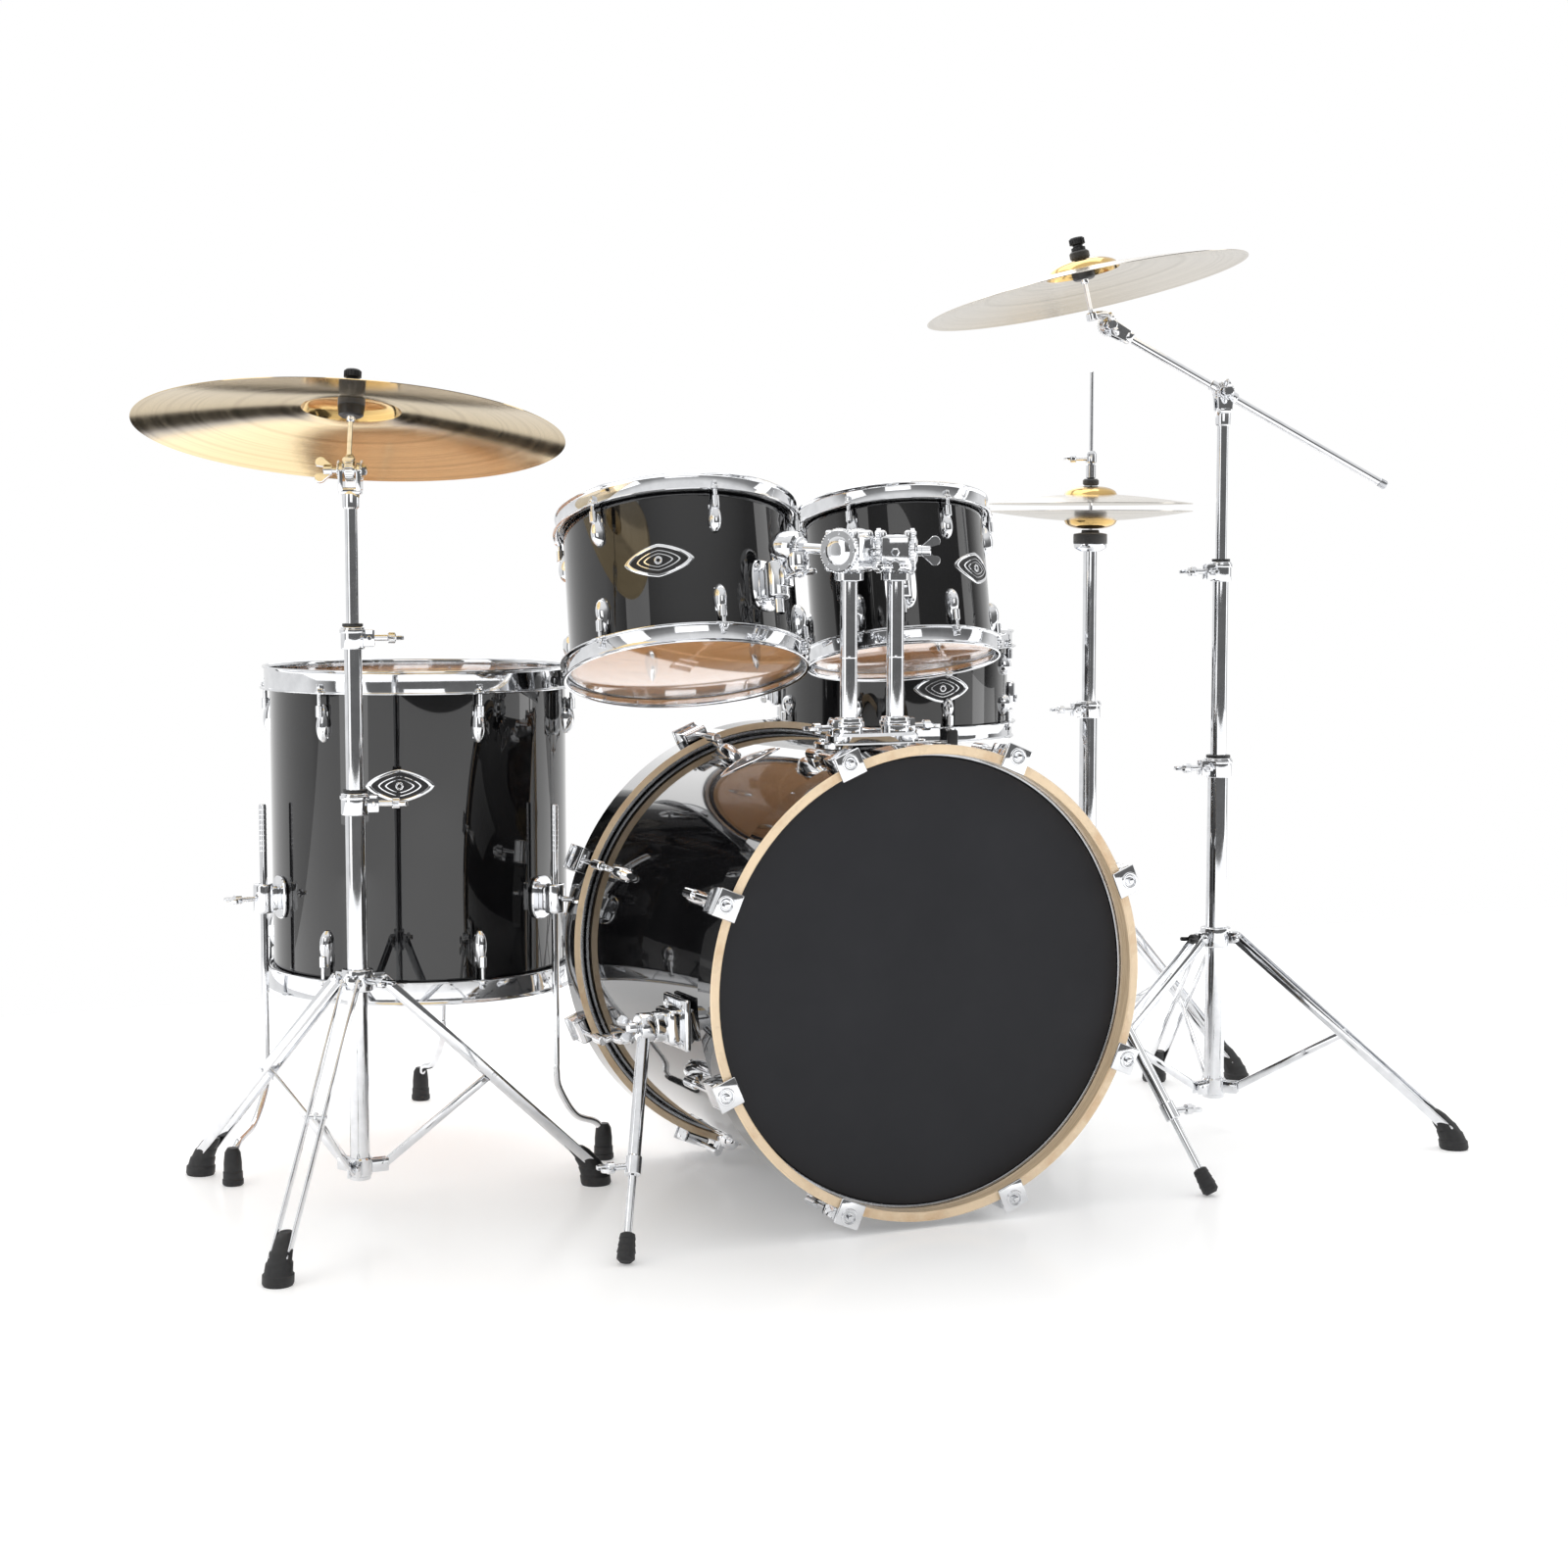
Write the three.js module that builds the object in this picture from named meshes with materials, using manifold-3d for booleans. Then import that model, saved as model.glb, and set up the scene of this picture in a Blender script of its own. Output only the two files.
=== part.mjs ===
// An acoustic drum kit: bass drum with pedal and two mounted toms, floor tom, snare drum on its stand,
// hi-hat, ride cymbal on a straight stand and crash cymbal on a boom stand.
// Millimetres, +Z up, audience towards -Y, drummer towards +Y.
import * as THREE from "three";
import { mergeVertices } from "three/addons/utils/BufferGeometryUtils.js";
import Module from "manifold-3d";

const wasm = await Module();
wasm.setup();

// ---------- driving dimensions ----------
const GAP = 0.4; // between pieces that touch
const INCH = 25.4;
const DRUM_SIDES = 18;
const BASS_SIDES = 24;
const TUBE_SIDES = 8;

const BASS = { radius: 11 * INCH, wall: 7, half: 228.6, centre: [0, 0, 305] };
const BASS_HOOP = { inner: 284, outer: 296, front: 255, depth: 40 };
const BASS_LUG = { count: 8, from: 22.5, at: 140, size: [34, 18, 56] };
const SPUR = { hinge: [329, -125, 255], foot: [409, -263, 0], hub: 18, pin: 5, tube: 8, rod: 5 };
const HOLDER = { apart: 33, forward: 85, top: 625, bore: 12.2, tilter: 832 };
const POST = { radius: 11, low: 490, high: 806 };

const TOM_1 = { radius: 6 * INCH, length: 203, rim: 12.5, lugs: 6, lugInset: 44, lugHeight: 40 };
const TOM_1_PLACE = { centre: [-159, 167, 778], axis: [0.062, 0.314, 0.947], lugAzimuth: 265.6 };
const TOM_1_BRACKET = 291; // azimuth
const TOM_2 = { radius: 5 * INCH, length: 203, rim: 12.5, lugs: 6, lugInset: 44, lugHeight: 40 };
const TOM_2_PLACE = { centre: [208, 255, 787], axis: [0.034, 0.242, 0.97], lugAzimuth: 276.6 };
const TOM_2_BRACKET = 243.7;
const FLOOR_TOM = { radius: 8 * INCH, length: 406.4, rim: 19, lugs: 6, lugInset: 52, lugHeight: 44 };
const FLOOR_TOM_PLACE = { centre: [-437, 452, 456.7], axis: [0, 0, 1], lugAzimuth: 275.6 };
const SNARE = { radius: 7 * INCH, length: 140, rim: 13, lugs: 8, lugInset: 38, lugHeight: 30 };
const SNARE_PLACE = { centre: [375, 600, 628], axis: [0, 0, 1], lugAzimuth: 270.6 };
const STRAINER = { azimuth: 157.6, stand: 19, height: -26, lever: 62 };
const WALL = 6;
const TOM_ARM = { standOff: 26, radius: 6.5, bore: 7.6, elbow: 16, end: -74 };

const FLOOR_LEG = {
  out: 228, top: 494, radius: 5, bracketZ: 366, bendZ: 130, azimuth: [185.6, 305.6, 65.6],
};
const FLOOR_LEG_SPLAY = [[-72, -102], [68, 1], [-7, 95]]; // from each leg's shaft to its foot

// radii of the stands' telescoping tubes; a wide base tube carries the boom and the hi-hat
const TUBE = { base: 12.7, wideBase: 14.3, baseBore: 11.8, middle: 11.1, middleBore: 8.7, top: 8 };
const LEG = { hinge: 32, strips: 10, thick: 3, deep: 13, brace: 5, middle: 0.5 };

const RIDE = { at: [-620, 122, 0], clampLow: 520, clampHigh: 728, pivot: 936, collar: 297, hub: 58 };
const RIDE_TUBES = { middleLow: 300, topLow: 500, tilterAzimuth: 335, clampTurn: 165 };
const RIDE_CYMBAL = { radius: 10.5 * INCH, bell: 62, bow: 30, height: 48 };
const RIDE_PLACE = { centre: [-618, 128, 982], axis: [0.105, 0.171, 0.98] };
const RIDE_LEGS = [
  { azimuth: 238.7, reach: 346 },
  { azimuth: 116.5, reach: 318 },
  { azimuth: 2.1, reach: 323 },
];

const CRASH = { at: [640, 89, 0], clampLow: 525, clampHigh: 805, boom: 1059, collar: 280, hub: 62 };
const CRASH_TUBES = { middleLow: 350, topLow: 620, clampTurn: 0 };
const CRASH_CYMBAL = { radius: 9 * INCH, bell: 52, bow: 26, height: 44 };
const CRASH_PLACE = { centre: [452, 152, 1198], axis: [-0.163, 0.131, 0.978] };
const CRASH_LEGS = [-48, 72, 192];
const CRASH_REACH = 345;
const BOOM_TIP = [482, 144, 1150];
const BOOM_END = [866, 14, 928];

const HIHAT = {
  at: [757, 646, 0], clampZ: 574, seat: 832, lowEdge: 896, highEdge: 909, rodLow: 665, rodTop: 1122,
};
const HIHAT_TRIPOD = { collar: 270, hub: 60 };
const HIHAT_CYMBAL = { radius: 6.5 * INCH, bell: 43, bow: 14, height: 28 };
const HIHAT_LEGS = [-69.5, 50.5, 170.5].map((azimuth) => ({ azimuth, reach: 305 }));
const HIHAT_PEDAL = { azimuth: 110.5, heel: 312, heelZ: 24, width: 84, rise: 14, link: 50 };

const SNARE_STAND = { clampZ: 330, collar: 225, hub: 56, basket: 506, bore: 10.2, post: 9.5, postLow: 150 };
const SNARE_LEGS = [90, -30, 210].map((azimuth) => ({ azimuth, reach: 230 }));

const PEDAL = { axleY: 285, axleZ: 180, shaft: 180, lean: 40, heelY: 545, heelZ: 22 };
const FOOTBOARD = { width: 88, length: 240, rise: 18, half: 52 };

// ---------- finishes ----------
function finish(color, roughness, metalness) {
  return new THREE.MeshStandardMaterial({ color, roughness, metalness });
}

const LACQUER = finish(0x09090b, 0.08, 0);
const CHROME = finish(0xd4d6da, 0.1, 1);
const MAPLE = finish(0xd8b17a, 0.4, 0);
const BLACK_FILM = finish(0x1c1d20, 0.5, 0);
const CLEAR_FILM = finish(0xe8ebee, 0.2, 0);
const RIDE_BRONZE = finish(0xc9a35c, 0.3, 1);
const CRASH_BRONZE = finish(0xe2d8bf, 0.25, 1);
const BLACK_METAL = finish(0x202124, 0.4, 0.6);

// ---------- solids ----------
const UP = new THREE.Vector3(0, 0, 1);
const radians = (angle) => (angle * Math.PI) / 180;
const vector = (point) => new THREE.Vector3(...point);

/** The point at a distance from another, in a direction. */
function along(start, direction, distance) {
  return vector(start).addScaledVector(vector(direction).normalize(), distance);
}

/** Six times the signed volume: its sign says which way the faces point. */
function windingSum(positions, index) {
  let sum = 0;
  for (let i = 0; i < index.length; i += 3) {
    const [a, b, c] = [0, 1, 2].map((k) => new THREE.Vector3().fromArray(positions, 3 * index[i + k]));
    sum += a.dot(b.cross(c));
  }
  return sum;
}

/** A closed geometry as a solid with its faces pointing out. */
function solid(geometry) {
  const bare = geometry.index ? geometry.toNonIndexed() : geometry.clone();
  bare.deleteAttribute("normal");
  bare.deleteAttribute("uv");
  const merged = mergeVertices(bare, 1e-3);
  const positions = merged.attributes.position.array;
  let index = [];
  for (let i = 0; i < merged.index.count; i += 3) {
    const [a, b, c] = [0, 1, 2].map((k) => merged.index.array[i + k]);
    if (a !== b && b !== c && c !== a) index.push(a, b, c);
  }
  if (windingSum(positions, index) < 0) index = index.reverse();
  const vertProperties = new Float32Array(positions);
  return new wasm.Manifold(new wasm.Mesh({ numProp: 3, vertProperties, triVerts: new Uint32Array(index) }));
}

function geometryOf(manifold) {
  const mesh = manifold.getMesh();
  const geometry = new THREE.BufferGeometry();
  geometry.setAttribute("position", new THREE.BufferAttribute(new Float32Array(mesh.vertProperties), 3));
  geometry.setIndex(Array.from(mesh.triVerts));
  return geometry;
}

function join(...parts) {
  return geometryOf(parts.map(solid).reduce((sum, next) => sum.add(next)));
}

function cut(base, ...tools) {
  return geometryOf(tools.map(solid).reduce((rest, tool) => rest.subtract(tool), solid(base)));
}

/** A round bar between two points, tapering if the end radius differs. */
function rod(from, to, radius, sides = TUBE_SIDES, endRadius = radius) {
  const start = vector(from);
  const direction = vector(to).sub(start);
  const bar = new THREE.CylinderGeometry(endRadius, radius, direction.length(), sides);
  bar.rotateX(Math.PI / 2);
  const middle = start.addScaledVector(direction, 0.5);
  bar.applyQuaternion(new THREE.Quaternion().setFromUnitVectors(UP, direction.normalize()));
  return bar.translate(...middle);
}

function block(size, centre) {
  return new THREE.BoxGeometry(...size).translate(...centre);
}

/** A profile of [radius, height] points turned about Z; one that misses the axis closes on itself. */
function turned(profile, sides) {
  const points = profile[0][0] === 0 ? profile : [...profile, profile[0]];
  const outline = points.map(([r, z]) => new THREE.Vector2(r, z));
  return new THREE.LatheGeometry(outline, sides).rotateX(Math.PI / 2);
}

function ring(inner, outer, low, high, sides = TUBE_SIDES) {
  return turned([[inner, low], [outer, low], [outer, high], [inner, high]], sides);
}

/** A flat strip between two points of the XZ plane, moved sideways by an offset along Y. */
function strip(from, to, thick, deep, offset = 0) {
  const run = [to[0] - from[0], to[1] - from[1]];
  const bar = new THREE.BoxGeometry(deep, thick, Math.hypot(...run));
  bar.rotateY(Math.atan2(run[0], run[1]));
  return bar.translate((from[0] + to[0]) / 2, offset, (from[1] + to[1]) / 2);
}

/** A tube closed at the bottom; a bore leaves it open at the top. */
function tube(low, high, outer, bore = 0) {
  const floor = low + 6;
  const hollow = [[0, low], [outer, low], [outer, high], [bore, high], [bore, floor], [0, floor]];
  return turned(bore ? hollow : [[0, low], [outer, low], [outer, high], [0, high]], TUBE_SIDES);
}

/** A clamp round a tube, its wing bolt towards -X and then turned about Z. */
function clamp(z, bore, outer, turn = 0) {
  const collar = ring(bore, outer, z - 14, z + 14);
  const ear = block([14, 16, 22], [-outer - 4, 0, z]);
  const bolt = rod([-outer - 10, 0, z], [-outer - 26, 0, z], 4, 6);
  const wing = block([6, 8, 34], [-outer - 27, 0, z]);
  return [collar, ...[ear, bolt, wing].map((part) => part.rotateZ(radians(turn)))];
}

// ---------- scene graph ----------
const kit = new THREE.Group();

/** A group at a point, its Z along an axis and its X towards an azimuth. */
function frame(position, axis = [0, 0, 1], azimuth = 0) {
  const group = new THREE.Group();
  const z = vector(axis).normalize();
  const heading = vector([Math.cos(radians(azimuth)), Math.sin(radians(azimuth)), 0]);
  const y = z.clone().cross(heading).normalize();
  group.quaternion.setFromRotationMatrix(new THREE.Matrix4().makeBasis(y.clone().cross(z), y, z));
  group.position.set(...position);
  group.updateMatrixWorld();
  kit.add(group);
  return group;
}

function piece(group, name, geometry, material) {
  const mesh = new THREE.Mesh(geometry, material);
  mesh.name = name;
  group.add(mesh);
  return mesh;
}

const inside = (group, point) => group.worldToLocal(vector(point)).toArray();

// ---------- drums ----------
function hoopProfile(radius, half, rim) {
  const bottom = half - 13;
  return [
    [radius + 4.9, bottom], [radius + 14, bottom], [radius + 14, bottom + 2.5],
    [radius + 7.4, bottom + 2.5], [radius + 7.4, half + rim], [radius + 4.9, half + rim],
  ];
}

function headProfile(radius, half, outer) {
  return [
    [0, half + GAP], [radius + 0.6, half + GAP], [radius + 0.6, half - 9],
    [outer, half - 9], [outer, half + 1.8], [0, half + 1.8],
  ];
}

/** Shell, hoops and heads; the ends named in `oneRim` have hoop and head in one piece. */
function drum(group, name, size, { fittings = [], holes = [], oneRim }) {
  const { radius, length, rim, lugs, lugInset, lugHeight } = size;
  const half = length / 2;
  const bodies = [ring(radius - WALL, radius, -half, half, DRUM_SIDES)];
  for (let i = 0; i < lugs; i += 1) {
    for (const end of [-1, 1]) {
      const lug = block([18, 16, lugHeight], [radius + 5, 0, end * (half - lugInset)]);
      const middle = half - (lugInset + 13.5) / 2;
      const tension = block([5, 5, lugInset - 13.5], [radius + 10, 0, end * middle]);
      bodies.push(...[lug, tension].map((part) => part.rotateZ((2 * Math.PI * i) / lugs)));
    }
  }
  const shell = join(...bodies, ...fittings);
  piece(group, `${name}_shell`, holes.length ? cut(shell, ...holes) : shell, LACQUER);
  for (const end of ["top", "bottom"]) {
    const turn = end === "top" ? 0 : Math.PI;
    const hoop = turned(hoopProfile(radius, half, rim), DRUM_SIDES).rotateX(turn);
    if (oneRim.includes(end)) {
      const head = turned(headProfile(radius, half, radius + 5.5), DRUM_SIDES).rotateX(turn);
      piece(group, `${name}_${end}_hoop_and_head`, join(hoop, head), CHROME);
    } else {
      const head = turned(headProfile(radius, half, radius + 4.4), DRUM_SIDES).rotateX(turn);
      piece(group, `${name}_${end}_hoop`, hoop, CHROME);
      piece(group, `${name}_${end}_head`, geometryOf(solid(head)), CLEAR_FILM);
    }
  }
}

function bassDrum() {
  const group = frame(BASS.centre);
  group.rotation.x = Math.PI / 2; // X right, Y up, Z towards the audience
  group.updateMatrixWorld();
  const { radius, half, wall } = BASS;
  const { inner, outer, front, depth } = BASS_HOOP;
  const bodies = [ring(radius - wall, radius, -half, half, BASS_SIDES)];
  for (let i = 0; i < BASS_LUG.count; i += 1) {
    for (const end of [-1, 1]) {
      const claw = [
        block([14, 26, 34], [outer + 7.6, 0, end * (front - 15)]),
        block([22, 26, 4], [outer + 3.6, 0, end * (front + 2.5)]),
        block([6, 6, 80], [outer + 8, 0, end * (front - 70)]),
        block(BASS_LUG.size, [radius + 13, 0, end * BASS_LUG.at]),
      ];
      const turn = radians(BASS_LUG.from + (360 / BASS_LUG.count) * i);
      bodies.push(...claw.map((part) => part.rotateZ(turn)));
    }
  }
  const spurHeight = SPUR.hinge[2] - BASS.centre[2];
  for (const side of [-1, 1]) {
    bodies.push(block([48, 40, 50], [side * (SPUR.hinge[0] - 9 - GAP - 24), spurHeight, -SPUR.hinge[1]]));
    const pin = [side * (SPUR.hinge[0] - 20), spurHeight, -SPUR.hinge[1]];
    bodies.push(rod(pin, [side * (SPUR.hinge[0] + 14), pin[1], pin[2]], SPUR.pin, 8));
    const x = side * HOLDER.apart;
    bodies.push(rod([x, 295, HOLDER.forward], [x, HOLDER.top - BASS.centre[2], HOLDER.forward], 18, 10));
  }
  bodies.push(block([140, 36, 80], [0, 288, HOLDER.forward])); // the tom holder's plate
  const holes = [-1, 1].map((side) => {
    const x = side * HOLDER.apart;
    return rod([x, 240, HOLDER.forward], [x, 340, HOLDER.forward], HOLDER.bore, 10);
  });
  piece(group, "bass_shell", cut(join(...bodies), ...holes), LACQUER);

  const hoop = [
    [radius + 7.8, front - depth], [outer, front - depth], [outer, front],
    [inner, front], [inner, half + 3], [radius + 7.8, half + 3],
  ];
  const head = headProfile(radius, half, radius + 7.2);
  for (const [end, turn, film] of [["front", 0, BLACK_FILM], ["batter", Math.PI, CLEAR_FILM]]) {
    piece(group, `bass_${end}_hoop`, geometryOf(solid(turned(hoop, BASS_SIDES).rotateX(turn))), MAPLE);
    piece(group, `bass_${end}_head`, geometryOf(solid(turned(head, BASS_SIDES).rotateX(turn))), film);
  }
}

/** The folding legs of the bass drum, each turning on a pin that stands out of the shell. */
function spurs() {
  for (const [name, side] of [["left_spur", -1], ["right_spur", 1]]) {
    const [x, y, z] = SPUR.hinge;
    const group = frame([side * x, y, z]);
    const foot = inside(group, [side * SPUR.foot[0], SPUR.foot[1], SPUR.foot[2]]);
    const at = (share) => foot.map((value) => value * share);
    const hub = rod([-9, 0, 0], [9, 0, 0], SPUR.hub, 10);
    const bore = rod([-20, 0, 0], [20, 0, 0], SPUR.pin + 1, 8);
    const shank = rod(at(0.05), at(0.62), SPUR.tube, 8);
    const lower = rod(at(0.6), at(0.9), SPUR.rod, 8);
    const screw = block([8, 30, 8], at(0.6));
    const tip = rod(at(0.86), [foot[0], foot[1], foot[2] + 1], 10, 6, 12);
    const below = block([80, 80, 40], [foot[0], foot[1], foot[2] - 20]);
    piece(group, name, cut(join(hub, shank, lower, screw, tip), bore, below), CHROME);
  }
}

function kickPedal() {
  const frameGroup = frame([0, 0, 0]);
  const { axleY, axleZ, heelY, heelZ } = PEDAL;
  const posts = [-FOOTBOARD.half, FOOTBOARD.half].map((x) => {
    const post = block([10, 26, axleZ + 16], [x, axleY, (axleZ + 16) / 2]);
    return cut(post, rod([x - 8, axleY, axleZ], [x + 8, axleY, axleZ], 7, 10));
  });
  const plate = block([114, heelY - axleY + 50, 6], [0, (heelY + axleY) / 2 + 5, 3]);
  const hoopClamp = block([70, 14, 20], [0, 266, 13]);
  const heel = [-40, 40].map((x) => cut(
    block([8, 20, 26], [x, heelY, 17]),
    rod([x - 6, heelY, heelZ], [x + 6, heelY, heelZ], 4.2, 8),
  ));
  const lip = block([70, 24, 6], [0, 272, 9]);
  piece(frameGroup, "kick_frame", join(plate, ...posts, hoopClamp, lip, ...heel), CHROME);

  const boardGroup = frame([0, heelY, heelZ]);
  const rise = radians(FOOTBOARD.rise);
  const { width, length } = FOOTBOARD;
  const board = block([width, length - 14, 5], [0, -length / 2 - 7, 0]).rotateX(-rise);
  const tongue = block([66, 26, 5], [0, -10, 0]).rotateX(-rise);
  const pin = rod([-43, 0, 0], [43, 0, 0], 3.2, 8);
  piece(boardGroup, "kick_footboard", join(board, tongue, pin), CHROME);

  const beaterGroup = frame([0, axleY, axleZ]);
  const lean = radians(PEDAL.lean);
  const head = rod([0, -24, PEDAL.shaft], [0, 24, PEDAL.shaft], 24, 10).rotateX(-lean);
  const shaft = rod([0, 0, 0], [0, 0, PEDAL.shaft], 5, 8).rotateX(-lean);
  const axle = rod([-60, 0, 0], [60, 0, 0], 6, 10);
  const cam = rod([-10, 0, 0], [10, 0, 0], 20, 10);
  piece(beaterGroup, "kick_beater", join(head, shaft, axle, cam), BLACK_METAL);
}

/** A tom with the post, tilter and bent arm that carry it. */
function mountedTom(name, side, size, place, bracketAzimuth) {
  const base = [side * HOLDER.apart, -HOLDER.forward];
  const post = frame([...base, 0]);
  const spigot = tube(POST.high - 2, POST.high + 12, 6);
  piece(post, `${name}_post`, join(tube(POST.low, POST.high, POST.radius), spigot), CHROME);

  // the elbow stands off the shell, on the bracket's side, a little above the drum's middle
  const drumGroup = frame(place.centre, place.axis, place.lugAzimuth);
  const standOff = size.radius + TOM_ARM.standOff;
  const turnTo = radians(bracketAzimuth - place.lugAzimuth);
  const radial = [Math.cos(turnTo), Math.sin(turnTo)];
  const shaftAt = (z) => [radial[0] * standOff, radial[1] * standOff, z];
  const world = (point) => drumGroup.localToWorld(vector(point)).toArray();
  const elbow = world(shaftAt(TOM_ARM.elbow));
  const shaftEnd = world(shaftAt(TOM_ARM.end));
  const pivot = [...base, HOLDER.tilter];
  const heading = (Math.atan2(elbow[1] - pivot[1], elbow[0] - pivot[0]) * 180) / Math.PI;

  const tilter = frame(pivot, [0, 0, 1], heading - 90); // X is the tilting axis, Y points along the arm
  const low = POST.high + GAP - HOLDER.tilter;
  const cheeks = [-15, 15].map((x) => block([8, 40, 34], [x, 0, 3]));
  const yoke = join(rod([0, 0, low], [0, 0, low + 13], 19, 10), ...cheeks, block([30, 8, 28], [0, -17, 0]));
  const socket = rod([0, 0, low - 2], [0, 0, low + 14], 7.4, 10);
  const axle = rod([-24, 0, 4], [24, 0, 4], 5, 8);
  piece(tilter, `${name}_tilter`, cut(yoke, socket, axle), CHROME);

  const arm = frame([pivot[0], pivot[1], pivot[2] + 4], [0, 0, 1], heading - 90);
  const [bend, end] = [inside(arm, elbow), inside(arm, shaftEnd)];
  const knuckle = rod([-10.4, 0, 0], [10.4, 0, 0], 12, 10);
  const pin = rod([-22, 0, 0], [22, 0, 0], 4.2, 8);
  const reach = rod([0, 0, 0], bend, TOM_ARM.radius, 6);
  const ball = new THREE.SphereGeometry(TOM_ARM.radius + 2, 6, 4).translate(...bend);
  const shaft = rod(bend, end, TOM_ARM.radius, 6);
  const wing = [rod([18, 0, 0], [34, 0, 0], 4, 6), block([6, 10, 38], [35, 0, 0])];
  piece(arm, `${name}_arm`, join(knuckle, pin, reach, ball, shaft, ...wing), CHROME);

  const bracket = block([40, 34, 48], [size.radius + 16, 0, -30]).rotateZ(turnTo);
  const bore = rod(shaftAt(-60), shaftAt(0), TOM_ARM.bore, 10);
  drum(drumGroup, name, size, { fittings: [bracket], holes: [bore], oneRim: ["bottom"] });
}

function floorTom() {
  const { centre, lugAzimuth } = FLOOR_TOM_PLACE;
  const group = frame(centre, [0, 0, 1], lugAzimuth);
  const height = FLOOR_LEG.bracketZ - centre[2];
  const turns = FLOOR_LEG.azimuth.map((azimuth) => radians(azimuth - lugAzimuth));
  const spots = turns.map((turn) => [Math.cos(turn) * FLOOR_LEG.out, Math.sin(turn) * FLOOR_LEG.out]);
  const out = FLOOR_TOM.radius + 18;
  const brackets = turns.map((turn) => block([40, 34, 40], [out, 0, height]).rotateZ(turn));
  const bore = FLOOR_LEG.radius + 1;
  const bores = spots.map(([x, y]) => rod([x, y, height - 30], [x, y, height + 30], bore, 10));
  drum(group, "floor_tom", FLOOR_TOM, { fittings: brackets, holes: bores, oneRim: ["top", "bottom"] });

  spots.forEach(([x, y], i) => {
    const shaft = group.localToWorld(vector([x, y, -centre[2]]));
    const leg = frame([shaft.x, shaft.y, 0]);
    const [dx, dy] = FLOOR_LEG_SPLAY[i];
    const { radius, top, bendZ } = FLOOR_LEG;
    const bends = [[0, bendZ], [0.06, 104], [0.4, 66], [0.85, 52], [1, 34]];
    const path = new THREE.CatmullRomCurve3(bends.map(([share, z]) => vector([dx * share, dy * share, z])));
    const section = new THREE.Shape().absarc(0, 0, radius, 0, 2 * Math.PI);
    const bent = new THREE.ExtrudeGeometry(section, { steps: 9, curveSegments: 3, extrudePath: path });
    const foot = rod([dx, dy, 0], [dx, dy, 46], 14, 6, 10);
    const legGeometry = join(rod([0, 0, bendZ - 2], [0, 0, top], radius, 8), bent, foot);
    piece(leg, `floor_tom_leg_${i + 1}`, legGeometry, CHROME);
  });
}

function snareDrum() {
  const { centre, axis, lugAzimuth } = SNARE_PLACE;
  const group = frame(centre, axis, lugAzimuth);
  const turn = radians(STRAINER.azimuth - lugAzimuth);
  const strainer = block([22, 30, 56], [SNARE.radius + 8, 0, -4]).rotateZ(turn);
  drum(group, "snare", SNARE, { fittings: [strainer], oneRim: ["top", "bottom"] });

  const out = SNARE.radius + STRAINER.stand + GAP;
  const spot = group.localToWorld(vector([Math.cos(turn) * out, Math.sin(turn) * out, STRAINER.height]));
  const lever = frame(spot.toArray(), [0, 0, 1], STRAINER.azimuth);
  const axle = rod([5, -12, 0], [5, 12, 0], 5, 8);
  const blade = block([6, 14, STRAINER.lever], [5, 0, STRAINER.lever / 2]);
  piece(lever, "snare_strainer_lever", join(axle, blade), CHROME);
}

// ---------- stands ----------
/** One tripod leg in its own XZ plane, from its collar's hinge to its rubber foot. */
function tripodLeg(collarZ, reach) {
  const [top, toe] = [[LEG.hinge, collarZ], [reach - 4, 26]];
  const strips = [-1, 1].map((side) => strip(top, toe, LEG.thick, LEG.deep, side * LEG.strips));
  const pin = rod([top[0], -LEG.strips - 1, top[1]], [top[0], LEG.strips + 1, top[1]], 3.2, 6);
  const foot = rod([reach, 0, 0], [reach, 0, 44], 17, 6, 12);
  return join(...strips, pin, foot);
}

/** Where the brace meets the leg. */
function braceMeets(collarZ, reach) {
  const share = LEG.middle;
  return [LEG.hinge + (reach - LEG.hinge) * share, collarZ * (1 - share) + 13 * share];
}

function tripodBrace(hubZ, collarZ, reach) {
  const hub = [LEG.hinge, hubZ];
  const pin = rod([hub[0], -7.5, hub[1]], [hub[0], 7.5, hub[1]], 2.8, 6);
  return join(strip(hub, braceMeets(collarZ, reach), LEG.brace, 10), pin);
}

/** The ring that the legs hang from, with an ear for each leg. */
function legCollar(z, bore, outer, azimuths) {
  const ears = azimuths.map((azimuth) => cut(
    block([LEG.hinge + 4 - bore, 14, 18], [(LEG.hinge + 8 + bore) / 2, 0, z]),
    rod([LEG.hinge, -9, z], [LEG.hinge, 9, z], 4.2, 6),
  ).rotateZ(radians(azimuth)));
  return [ring(bore, outer, z - 14, z + 14), ...ears];
}

/** The foot of a stand's tube, with a pair of cheeks for each brace. */
function braceHub(z, outer, azimuths) {
  const cheeks = azimuths.flatMap((azimuth) => [-1, 1].map((side) => cut(
    block([LEG.hinge + 6 - outer + 3, 4, 18], [(LEG.hinge + 3 + outer) / 2, side * 5.4, z]),
    rod([LEG.hinge, -9, z], [LEG.hinge, 9, z], 3.8, 6),
  ).rotateZ(radians(azimuth))));
  return [tube(z - 12, z + 12, outer + 3), ...cheeks];
}

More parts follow.
